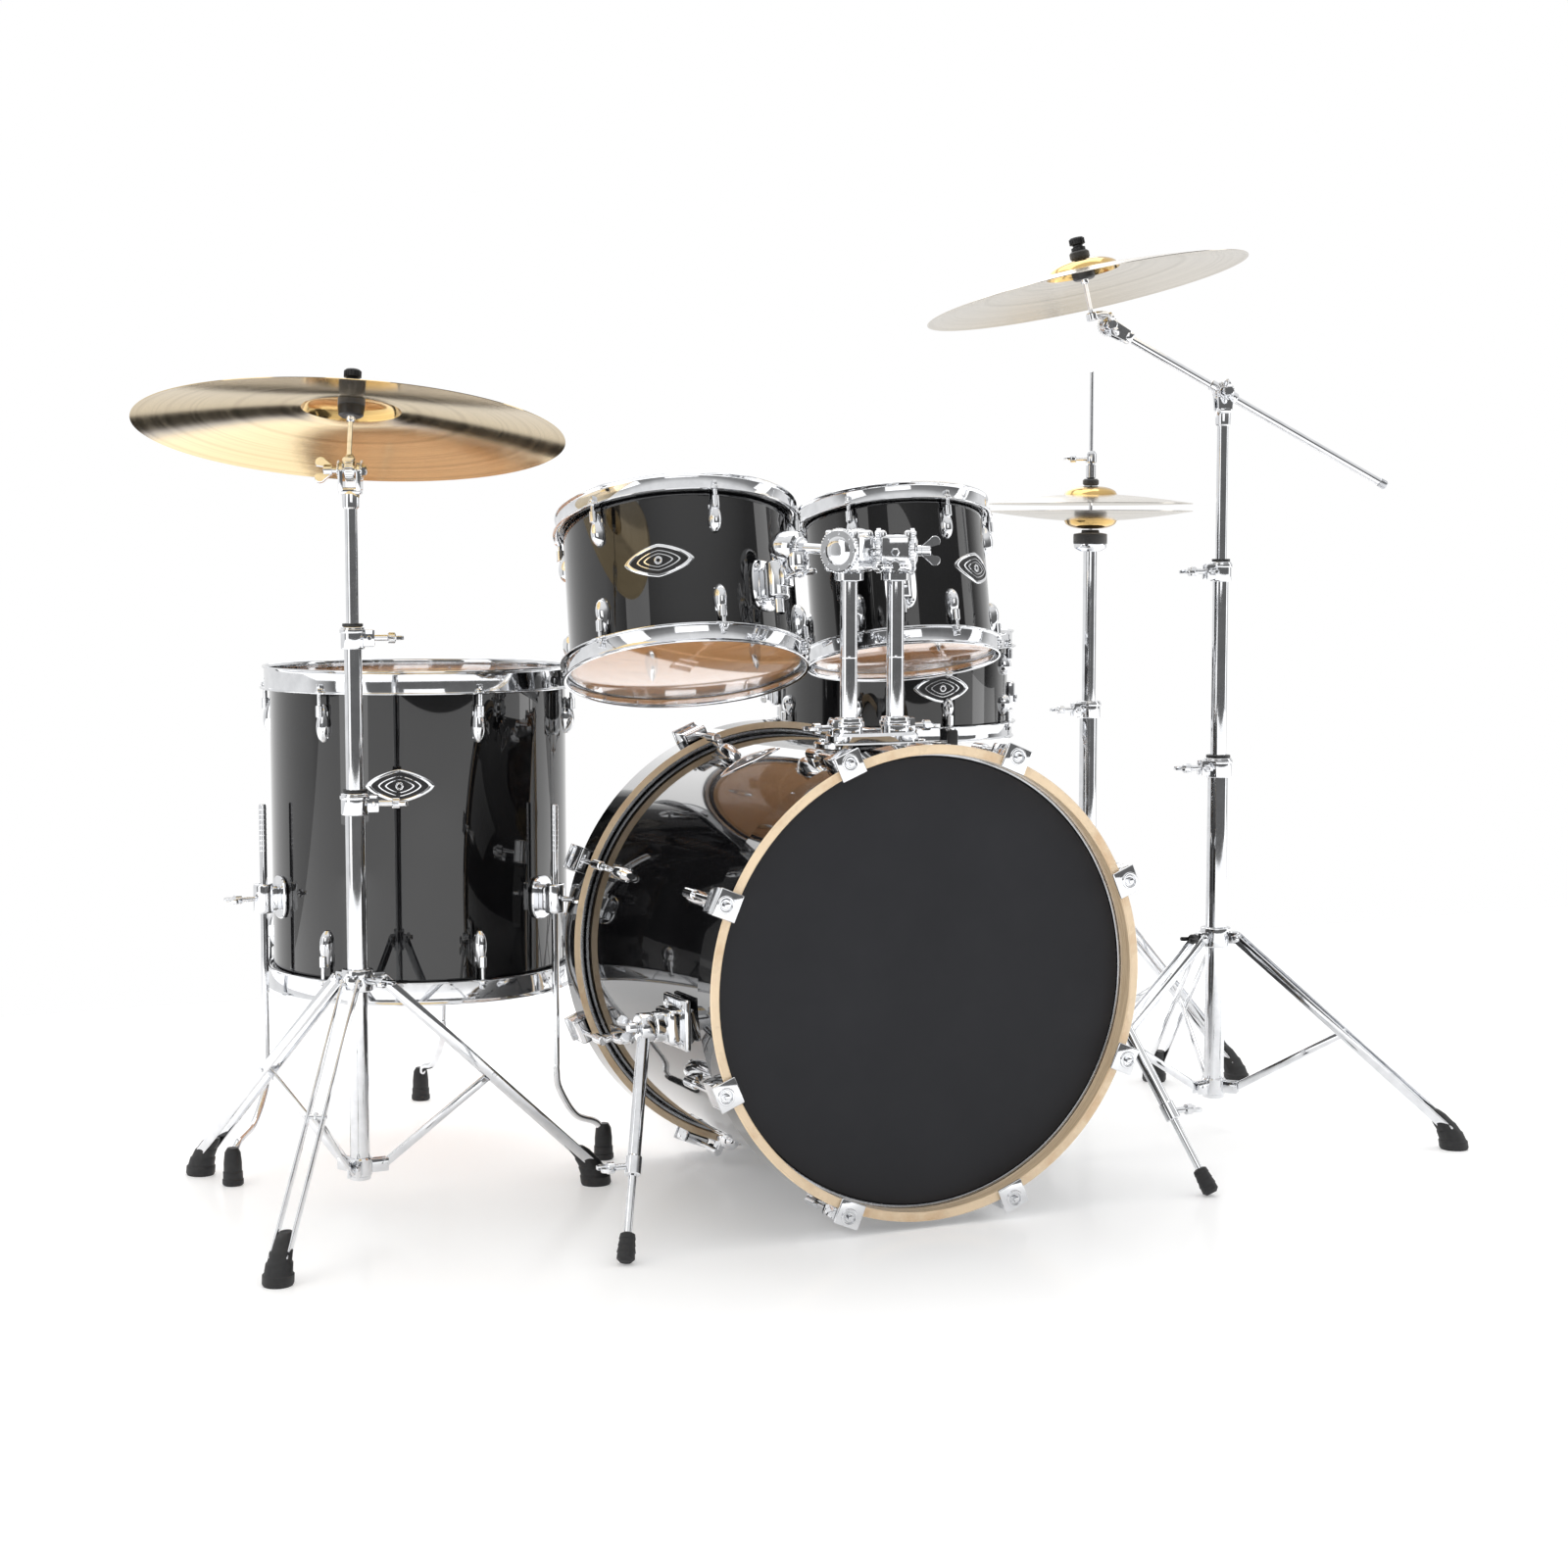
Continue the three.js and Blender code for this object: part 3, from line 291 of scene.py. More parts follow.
class Shape:
    """Gathers shapes into one mesh; each addition may have its own place and material number."""

    def __init__(self, shape=None, place=None):
        self.verts, self.faces, self.numbers = [], [], []
        if shape is not None:
            self.add(shape, place)

    def add(self, shape, place=None, number=0):
        """Adds a pair of vertices and faces, or another Shape."""
        verts, faces = (shape.verts, shape.faces) if isinstance(shape, Shape) else shape
        start = len(self.verts)
        place = place or Matrix()
        self.verts += [place @ Vector(v) for v in verts]
        self.faces += [tuple(start + i for i in f) for f in faces]
        self.numbers += [number] * len(faces)
        return self

    def mesh(self, name):
        mesh = bpy.data.meshes.new(name)
        mesh.from_pydata([v * MM for v in self.verts], [], self.faces)
        mesh.polygons.foreach_set("material_index", self.numbers)
        bm = bmesh.new()
        bm.from_mesh(mesh)
        bmesh.ops.remove_doubles(bm, verts=bm.verts, dist=1e-6)
        bmesh.ops.dissolve_degenerate(bm, edges=bm.edges, dist=1e-7)
        bmesh.ops.recalc_face_normals(bm, faces=bm.faces)
        bm.to_mesh(mesh)
        bm.free()
        mesh.polygons.foreach_set("use_smooth", [True] * len(mesh.polygons))
        mesh.set_sharp_from_angle(angle=math.radians(38))
        return mesh


def at(x=0.0, y=0.0, z=0.0):
    return Matrix.Translation((x, y, z))


def spin(angle, axis="Z"):
    return Matrix.Rotation(math.radians(angle), 4, axis)


def turned_to(direction, axis="Z"):
    """A turn that brings the axis onto the direction."""
    return direction.to_track_quat(axis, "Y").to_matrix().to_4x4()


def place_of(position, axis=(0, 0, 1), azimuth=0.0):
    """A place whose Z follows the axis and whose X looks towards the azimuth."""
    z = Vector(axis).normalized()
    heading = Vector((math.cos(math.radians(azimuth)), math.sin(math.radians(azimuth)), 0))
    y = z.cross(heading).normalized()
    turned = Matrix((y.cross(z), y, z)).transposed().to_4x4()
    return Matrix.Translation(position) @ turned


def make(name, shape, materials, body, place=None, replaces=()):
    """One finished piece: in place, riding on its body and given the materials passed to it."""
    place = place or Matrix()
    piece = bpy.data.objects.new(name, shape.mesh(name))
    bpy.context.scene.collection.objects.link(piece)
    for material in materials if isinstance(materials, (list, tuple)) else [materials]:
        piece.data.materials.append(material)
    moved = place.copy()
    moved.translation = place.translation * MM + KIT
    piece.matrix_world = moved
    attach(piece, body)
    if replaces:
        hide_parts(*replaces)
    return piece


def chrome(name, shape, body, place=None, replaces=()):
    return make(name, shape, CHROME, body, place, replaces)


# ---------- materials ----------
def rgba(colour):
    """Full alpha added to a colour, or to one number for a grey."""
    return (*colour, 1) if isinstance(colour, tuple) else (colour, colour, colour, 1)


class Nodes:
    """Short names for a material's nodes and links."""

    def __init__(self, name):
        self.material = bpy.data.materials.new(name)
        self.material.use_nodes = True
        self.tree = self.material.node_tree
        self.shader = self.tree.nodes["Principled BSDF"]

    def new(self, kind, **settings):
        node = self.tree.nodes.new(kind)
        for key, value in settings.items():
            if hasattr(node, key) and key not in node.inputs:
                setattr(node, key, value)
            else:
                node.inputs[key].default_value = value
        return node

    def link(self, source, target):
        self.tree.links.new(source, target)

    def where(self, scale=(1, 1, 1), kind="Object"):
        mapping = self.new("ShaderNodeMapping")
        mapping.inputs["Scale"].default_value = scale
        self.link(self.new("ShaderNodeTexCoord").outputs[kind], mapping.inputs["Vector"])
        return mapping.outputs["Vector"]

    def noise(self, scale, detail=4.0, vector=None, roughness=0.5):
        node = self.new("ShaderNodeTexNoise")
        node.inputs["Scale"].default_value = scale
        node.inputs["Detail"].default_value = detail
        node.inputs["Roughness"].default_value = roughness
        self.link(vector or self.where(), node.inputs["Vector"])
        return node.outputs["Fac"]

    def ramp(self, source, stops):
        node = self.new("ShaderNodeValToRGB")
        elements = node.color_ramp.elements
        while len(elements) < len(stops):
            elements.new(0.5)
        for element, (place, colour) in zip(elements, stops):
            element.position = place
            element.color = rgba(colour)
        self.link(source, node.inputs["Fac"])
        return node.outputs["Color"]

    def colour(self, source, stops):
        self.link(self.ramp(source, stops), self.shader.inputs["Base Color"])

    def rough(self, source, low, high):
        self.link(self.span(source, low, high), self.shader.inputs["Roughness"])

    def calc(self, operation, *terms):
        """Arithmetic on sockets and plain numbers."""
        node = self.new("ShaderNodeMath", operation=operation)
        for term, socket in zip(terms, node.inputs):
            if isinstance(term, float):
                socket.default_value = term
            else:
                self.link(term, socket)
        return node.outputs[0]

    def span(self, source, low, high):
        node = self.new("ShaderNodeMapRange")
        node.inputs["To Min"].default_value = low
        node.inputs["To Max"].default_value = high
        self.link(source, node.inputs["Value"])
        return node.outputs["Result"]

    def bump(self, source, strength, distance):
        node = self.new("ShaderNodeBump")
        node.inputs["Strength"].default_value = strength
        node.inputs["Distance"].default_value = distance
        self.link(source, node.inputs["Height"])
        self.link(node.outputs["Normal"], self.shader.inputs["Normal"])
        return node

    def fixed(self, **values):
        for key, value in values.items():
            self.shader.inputs[key.replace("_", " ")].default_value = value
        return self


def plain_metal(name, dark, light, rough_low, rough_high, metallic=1.0):
    """Metal with faint clouding in its colour and polish."""
    n = Nodes(name).fixed(Metallic=metallic)
    n.colour(n.noise(60), [(0.3, dark), (0.75, light)])
    n.rough(n.noise(240, 6), rough_low, rough_high)
    n.bump(n.noise(540, 3), 0.03, 0.0002)
    return n.material


def lacquer():
    n = Nodes("black_gloss_lacquer").fixed(Coat_Weight=1.0, Coat_Roughness=0.012, Coat_IOR=1.6,
                                           Specular_IOR_Level=0.08)
    n.colour(n.noise(14), [(0.35, (0.0028, 0.0028, 0.0033)), (0.7, (0.006, 0.006, 0.0068))])
    n.rough(n.noise(90, 5), 0.05, 0.11)
    n.bump(n.noise(220, 2), 0.035, 0.0004)
    return n.material


def maple(name, stretch, light=(0.80, 0.57, 0.33), dark=(0.60, 0.37, 0.18), rough=0.3):
    """Clear-coated maple; stretch sets which way the grain runs."""
    n = Nodes(name).fixed(Coat_Weight=0.45, Coat_Roughness=0.12)
    grain = n.noise(38, 8, n.where(stretch), 0.62)
    clouded = n.calc("MULTIPLY", grain, n.span(n.noise(5, 3), 0.75, 1.25))
    n.colour(clouded, [(0.3, dark), (0.46, light), (0.72, tuple(c * 1.12 for c in light))])
    n.rough(grain, rough, rough + 0.15)
    n.bump(grain, 0.08, 0.0004)
    return n.material


def black_film():
    n = Nodes("black_drumhead_film").fixed(Specular_IOR_Level=0.22)
    n.colour(n.noise(7, 5), [(0.3, (0.018, 0.0187, 0.0222)), (0.75, (0.0235, 0.0243, 0.0285))])
    n.rough(n.noise(40, 6), 0.42, 0.55)
    n.bump(n.noise(1500, 2), 0.06, 0.0002)
    return n.material


def coated_film():
    n = Nodes("coated_drumhead_film").fixed(Alpha=0.88, Coat_Weight=0.6, Coat_Roughness=0.05)
    n.colour(n.noise(6, 4), [(0.3, (0.80, 0.82, 0.84)), (0.8, (0.93, 0.94, 0.95))])
    n.rough(n.noise(30, 5), 0.5, 0.6)
    n.bump(n.noise(900, 2), 0.04, 0.0002)
    return n.material


def clear_film():
    """A clear plastic sheet: a mirror whose cover grows towards grazing angles, the same from both sides."""
    n = Nodes("clear_drumhead_film").fixed(Metallic=1.0)
    n.colour(n.noise(6, 4), [(0.3, (0.9, 0.91, 0.92)), (0.8, (1.0, 1.0, 1.0))])
    n.rough(n.noise(30, 5), 0.04, 0.09)
    n.bump(n.noise(18, 2), 0.02, 0.0004)
    facing = n.new("ShaderNodeLayerWeight", Blend=0.5)
    grazing = n.calc("POWER", facing.outputs["Facing"], 5.0)
    n.link(n.calc("MULTIPLY_ADD", grazing, 0.9, 0.1), n.shader.inputs["Alpha"])
    return n.material


def cymbal_bronze(name, dark, light, rough, groove, anisotropy):
    """Lathed bronze: rings about the piece's own Z axis, with tonal bands between them."""
    n = Nodes(name).fixed(Metallic=1.0, Anisotropic=anisotropy)
    split = n.new("ShaderNodeSeparateXYZ")
    n.link(n.where(), split.inputs["Vector"])
    flat = n.new("ShaderNodeCombineXYZ")
    n.link(split.outputs["X"], flat.inputs["X"])
    n.link(split.outputs["Y"], flat.inputs["Y"])
    length = n.new("ShaderNodeVectorMath", operation="LENGTH")
    n.link(flat.outputs["Vector"], length.inputs[0])
    radius = length.outputs["Value"]
    wave = n.calc("SINE", n.calc("MULTIPLY", radius, GROOVES))
    along = n.new("ShaderNodeCombineXYZ")
    n.link(radius, along.inputs["X"])
    bands = n.noise(75, 7, along.outputs["Vector"], 0.7)
    n.colour(bands, [(0.32, dark), (0.5, light), (0.7, tuple(min(1, c * 1.06) for c in light))])
    n.rough(bands, rough - 0.05, rough + 0.08)
    n.bump(n.calc("MULTIPLY_ADD", wave, 0.35, bands), groove, 0.0006)
    tangent = n.new("ShaderNodeTangent", direction_type="RADIAL", axis="Z")
    n.link(tangent.outputs["Tangent"], n.shader.inputs["Tangent"])
    return n.material


def matte(name, dark, light, rough, scale, strength, sheen=0.0):
    n = Nodes(name).fixed(Sheen_Weight=sheen, Sheen_Roughness=0.6)
    n.colour(n.noise(scale, 8, None, 0.65), [(0.3, dark), (0.7, light)])
    n.rough(n.noise(scale * 2, 4), rough - 0.08, rough + 0.08)
    n.bump(n.noise(scale * 3, 6), strength, 0.0008)
    return n.material


CHROME = plain_metal("polished_chrome", (0.72, 0.73, 0.75), (0.84, 0.85, 0.87), 0.035, 0.085)
STEEL = plain_metal("satin_steel", (0.42, 0.43, 0.45), (0.56, 0.57, 0.59), 0.2, 0.32)
BLACK_METAL = plain_metal("black_coated_metal", (0.012, 0.012, 0.013), (0.03, 0.03, 0.032), 0.3, 0.42, 0.3)
LACQUER = lacquer()
SHELL_MAPLE = maple("shell_maple", (0.6, 0.6, 9.0), (0.88, 0.56, 0.29), (0.74, 0.43, 0.19))
HOOP_MAPLE = maple("hoop_maple", (0.5, 0.5, 14.0), (0.86, 0.67, 0.45), (0.74, 0.51, 0.30), 0.2)
BLACK_FILM = black_film()
CLEAR_FILM = clear_film()
COATED_FILM = coated_film()
RIDE_BRONZE = cymbal_bronze("ride_bronze", (0.50, 0.35, 0.15), (0.74, 0.57, 0.31), 0.075, 0.02, 0.2)
CRASH_BRONZE = cymbal_bronze("brilliant_bronze", (0.62, 0.57, 0.48), (0.80, 0.75, 0.67), 0.17, 0.04, 0.3)
BELL_BRONZE = cymbal_bronze("bell_bronze", (0.40, 0.25, 0.08), (0.66, 0.45, 0.18), 0.1, 0.03, 0.2)
RUBBER = matte("moulded_rubber", (0.010, 0.010, 0.011), (0.022, 0.022, 0.023), 0.55, 160, 0.12)
FELT = matte("pressed_felt", (0.012, 0.012, 0.012), (0.04, 0.04, 0.042), 0.9, 700, 0.6, 0.4)
NYLON = matte("black_nylon", (0.012, 0.012, 0.013), (0.02, 0.02, 0.021), 0.35, 120, 0.03)
WHITE_FELT = matte("white_felt", (0.55, 0.54, 0.50), (0.75, 0.74, 0.70), 0.9, 600, 0.6, 0.4)


# ---------- small hardware ----------
def wing(width=34, drop=20, thick=5):
    """A wing head in the XZ plane, its hub on Z, two rounded ears above."""
    outline = []
    half = width / 2
    for k in range(13):
        a = math.radians(-60 + 15 * k)
        outline.append((half - 7 + 7 * math.cos(a), drop - 7 + 7 * math.sin(a)))
    outline += [(5, drop * 0.42), (-5, drop * 0.42)]
    outline += [(-x, y) for x, y in reversed(outline[:13])]
    outline += [(-6, 0), (6, 0)]
    shape = Shape(plate(outline, thick, 0.9), spin(90, "X"))
    return shape.add(puck(7, 0, drop * 0.5, 1, 20))


def wing_bolt(reach=26, width=34):
    """A wing bolt along -X from the origin."""
    shape = Shape(bar((0, 0, 0), (-reach, 0, 0), 4, 16))
    turn = at(-reach + 2) @ spin(-90, "Y")
    return shape.add(wing(width, 20, 5), turn @ spin(90))


def key_rod(low, high):
    """A tension rod with its washer and square key head on top, along Z."""
    shape = Shape(bar((0, 0, low), (0, 0, high), 2.9, 12, 0.4))
    shape.add(puck(6.5, high - 1, high + 1, 0.4, 20))
    shape.add(disc_stack([(5.3, high + 1), (5.1, high + 3.4), (4, high + 4.4)], 20))
    return shape.add(slab((5.6, 5.6, 7), (0, 0, high + 7), 0.7))


def clamp(z, bore, outer):
    """A clamp round a tube: ring with two ears, their bolt, and a wing bolt towards -X."""
    shape = Shape(ring(bore, outer, z - 14, z + 14, 48, 2))
    shape.add(ring(bore, outer + 1.4, z + 6, z + 11, 48, 0.8))
    for side in (-1, 1):
        shape.add(slab((16, 6.4, 22), (-outer - 4, side * 4.4, z), 2))
    shape.add(puck(6, 7, 13, 1, 6), at(-outer - 5, 0, z) @ spin(90, "X"))
    shape.add(bar((-outer - 5, 14, z), (-outer - 5, -20, z), 3, 12))
    shape.add(wing_bolt(22, 32), at(-outer - 8, 0, z))
    return shape


def rubber_foot(reach, slope):
    """A ribbed rubber boot on a leg's end, flat where it stands on the floor."""
    sections = []
    stations = [(0, 17, 1.0), (3, 18.5, 1.0), (12, 18.5, 1.0), (14, 17, 0.97), (24, 16.6, 0.95),
                (26, 15.2, 0.92), (36, 14.8, 0.9), (38, 13.4, 0.86), (48, 12.6, 0.8), (54, 10, 0.72)]
    for height, radius, wide in stations:
        shift = -height * math.tan(slope) * 0.55 * (height / 54)
        sections.append([
            (reach + shift + radius * 1.1 * math.cos(a), radius * wide * math.sin(a), height)
            for a in [2 * math.pi * k / 28 for k in range(28)]])
    return loft(sections)


def flat_bar(size, low, high, side=0.0):
    """A flat with rounded edges between two [x, z] points, and past them as far as its size says."""
    deep, thick, extra = size
    run = Vector((high[0] - low[0], 0, high[1] - low[1]))
    middle = ((low[0] + high[0]) / 2, side, (low[1] + high[1]) / 2)
    tilt = math.degrees(math.atan2(run.x, run.z))
    return Shape(slab((deep, thick, run.length + extra), (0, 0, 0), 1.4, 3), at(*middle) @ spin(tilt, "Y"))


def leg_shape(collar, reach):
    """The two parallel flats of a tripod leg, in its XZ plane, and the pin that they hang from."""
    shape = Shape()
    for side in (-1, 1):
        shape.add(flat_bar((13, 3, 6.5), (HINGE_OUT, collar), (reach - 6, 28), side * LEG_APART))
    shape.add(bar((HINGE_OUT, -LEG_APART - 4, collar), (HINGE_OUT, LEG_APART + 4, collar), 3.2, 14))
    cap = disc_stack([(5.5, 0), (5.5, 1.2), (3.5, 2.6)], 16)
    for side in (-1, 1):
        shape.add(cap, at(HINGE_OUT, side * (LEG_APART + 1.5), collar) @ spin(-90 * side, "X"))
    return shape


def brace_shape(hub, collar, reach, riveted):
    """The single flat between the hub and the middle of a leg."""
    end = (HINGE_OUT + (reach - HINGE_OUT) / 2, collar / 2 + 13)
    shape = flat_bar((11, 4.4, 6), (HINGE_OUT, hub), end)
    shape.add(bar((HINGE_OUT, -7.4, hub), (HINGE_OUT, 7.4, hub), 2.8, 12, 0.5))
    if riveted:
        shape.add(bar((end[0], -13.5, end[1]), (end[0], 13.5, end[1]), 3, 14))
    return shape


def collar_shape(z, bore, legs):
    """The ring that the legs hang from, with a block for each leg."""
    shape = Shape(ring(bore, bore + 6.5, z - 14, z + 14, 48, 2))
    for azimuth, _ in legs:
        shape.add(slab((HINGE_OUT - bore + 2, 13, 18), ((HINGE_OUT + bore + 6) / 2, 0, z), 3), spin(azimuth))
    return shape


def hub_shape(z, tube, legs):
    shape = Shape(puck(tube + 3, z - 12, z + 12, 2, 48))
    shape.add(disc_stack([(tube - 4, z - 18), (tube + 1, z - 16), (tube + 1, z - 11)], 48))
    for azimuth, _ in legs:
        for side in (-1, 1):
            middle = ((HINGE_OUT + tube + 1) / 2, side * 5.4, z)
            shape.add(slab((HINGE_OUT - tube + 7, 3.6, 17), middle, 1.2), spin(azimuth))
    return shape


def fixed_tripod(name, stand, tube, legs, body, place):
    """A tripod whose legs ride with its tube."""
    collar, hub = stand["collar"], stand["hub"]
    chrome(f"{name}_leg_collar", collar_shape(collar, tube + 0.4, legs), body, place)
    chrome(f"{name}_brace_hub", hub_shape(hub, tube, legs), body, place)
    knob = Shape(wing_bolt(20, 30), at(-tube - 6, 0, collar))
    chrome(f"{name}_collar_wing_bolt", knob, body, place @ spin(legs[0][0] + 240))
    for i, (azimuth, reach) in enumerate(legs, 1):
        turned = place @ spin(azimuth)
        chrome(f"{name}_leg_{i}", leg_shape(collar, reach), body, turned)
        chrome(f"{name}_brace_{i}", brace_shape(hub, collar, reach, True), body, turned)
        slope = math.atan2(reach - HINGE_OUT, collar)
        make(f"{name}_foot_{i}", Shape(rubber_foot(reach, slope)), RUBBER, body, turned)


def tube_shape(low, high, radius, bore=None):
    """A round tube with softened ends, hollow if it has a bore."""
    if bore:
        return Shape(ring(bore, radius, low, high, 48, 0.6))
    return Shape(puck(radius, low, high, 0.8, 48))


# ---------- drums ----------
def shell_shape(radius, half, wall):
    """Slot 0 outside, slot 1 the wood inside with its bearing edges."""
    shape = Shape(lathe([
        (radius, -half + 1.2), (radius, half - 1.2), (radius - 1.4, half),
        (radius - wall, half - wall * 0.8), (radius - wall, 0), (radius - wall, -half + wall * 0.8),
        (radius - 1.4, -half)], 128))
    shape.numbers = [0 if k % 7 == 0 else 1 for k in range(len(shape.faces))]
    return shape


def hoop_shape(radius, half, rim, lugs):
    """A triple-flanged hoop at the +Z end, with an ear over each lug."""
    low = half - 13
    outline = [(radius + 5, low), (radius + 11, low - 0.2), (radius + 13.5, low + 0.4),
               (radius + 13.5, low + 2.6), (radius + 7.4, low + 2.6), (radius + 7.3, half + rim - 5),
               (radius + 10.5, half + rim - 2.4),
               (radius + 9.6, half + rim), (radius + 6.2, half + rim - 0.8), (radius + 5, half + rim - 4)]
    shape = Shape(lathe(rounded(outline, 1.2, 2), 128))
    for i in range(lugs):
        shape.add(slab((11, 24, 2.6), (radius + 9, 0, low + 1.3), 1.2), spin(360 * i / lugs))
    return shape


def head_shape(radius, half):
    """Slot 0 the film with its collar, slot 1 the metal flesh hoop."""
    film = [(0, half + 1.5), (radius - 3, half + 1.5), (radius + 0.6, half + 0.6), (radius + 1.5, half - 4),
            (radius + 1.1, half - 4), (radius + 0.4, half + 0.1), (radius - 3, half + 0.9), (0, half + 0.9)]
    shape = Shape(lathe(film, 128))
    return shape.add(ring(radius + 0.9, radius + 4.3, half - 9, half - 1, 128, 1), None, 1)


def badge_shape(radius):
    """A plain winged oval plate bent round the shell about X, and a vent grommet in its middle."""
    outline = []
    for k in range(60):
        a = 2 * math.pi * k / 60
        c, s = math.cos(a), math.sin(a)
        outline.append((BADGE[0] / 2 * math.copysign(abs(c) ** 1.5, c),
                        BADGE[1] / 2 * math.copysign(abs(s) ** 1.35, s)))

    def bent(share, out):
        points = []
        for u, z in outline:
            a = u * share / radius
            points.append(((radius + out) * math.cos(a), (radius + out) * math.sin(a), z * share))
        return points

    rim = [bent(1, -0.5), bent(1, 1.0), bent(0.96, 1.6), bent(0.86, 1.6), bent(0.83, 1.0)]
    shape = Shape(loft(rim, False))
    shape.add(loft([bent(0.83, 1.0), bent(0.4, 1.05), bent(0.02, 1.1)], True), None, 1)
    for share in (0.62, 0.42):
        band = [bent(share, 0.9), bent(share, 1.6), bent(share - 0.05, 1.6), bent(share - 0.05, 0.9)]
        shape.add(loft(band, False))
    grommet = lathe(rounded([(2.6, 0), (6, 0), (5.4, 3), (2.6, 3)], 0.8), 32)
    return shape.add(grommet, at(radius - 0.5) @ spin(90, "Y"))


def drum(name, body, spec, place, heads, badge):
    """Shell, hoops, heads, lugs, tension rods and badge of one drum on its own axis."""
    radius, half = spec["radius"], spec["length"] / 2
    own = place_of(place["centre"], place["axis"], place["azimuth"])
    make(f"{name}_shell_wood", shell_shape(radius, half, WALL), [LACQUER, SHELL_MAPLE], body, own,
         [f"{name}_shell"])
    lugs, rods = Shape(), Shape()
    for i in range(spec["lugs"]):
        turn = spin(360 * i / spec["lugs"])
        for end in (-1, 1):
            flip = turn @ (Matrix() if end > 0 else spin(180, "X"))
            centre = half - spec["inset"]
            lugs.add(pod(spec["pod"] + 4, 23, 18, 0.62), flip @ at(radius - 2, 0, centre))
            lugs.add(slab((3, 16, spec["pod"] * 0.8), (radius + 0.6, 0, centre - 2), 1.2), flip)
            lugs.add(bar((radius + 9.5, 0, centre + 8), (radius + 9.5, 0, centre + 24), 5, 20, 1), flip)
            rods.add(key_rod(centre + 22, half - 10), flip @ at(radius + 9.5))
    chrome(f"{name}_lugs", lugs, body, own)
    chrome(f"{name}_tension_rods", rods, body, own)
    for end, turn in (("top", Matrix()), ("bottom", spin(180, "X"))):
        joined = f"{name}_{end}_hoop_and_head"
        hoop_node = joined if joined in frame["nodes"] else f"{name}_{end}_hoop"
        hoop = hoop_shape(radius, half, spec["rim"], spec["lugs"])
        chrome(f"{name}_{end}_rim", hoop, body, own @ turn, [hoop_node])
        head = make(f"{name}_{end}_film", head_shape(radius, half), [heads[end], STEEL], body,
                    own @ turn)
        if hoop_node != joined:
            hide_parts(f"{name}_{end}_head")
    make(f"{name}_badge", badge_shape(radius), [CHROME, BLACK_METAL], body,
         own @ spin(badge - place["azimuth"]) @ at(0, 0, spec.get("badge_z", 0)))
    return own


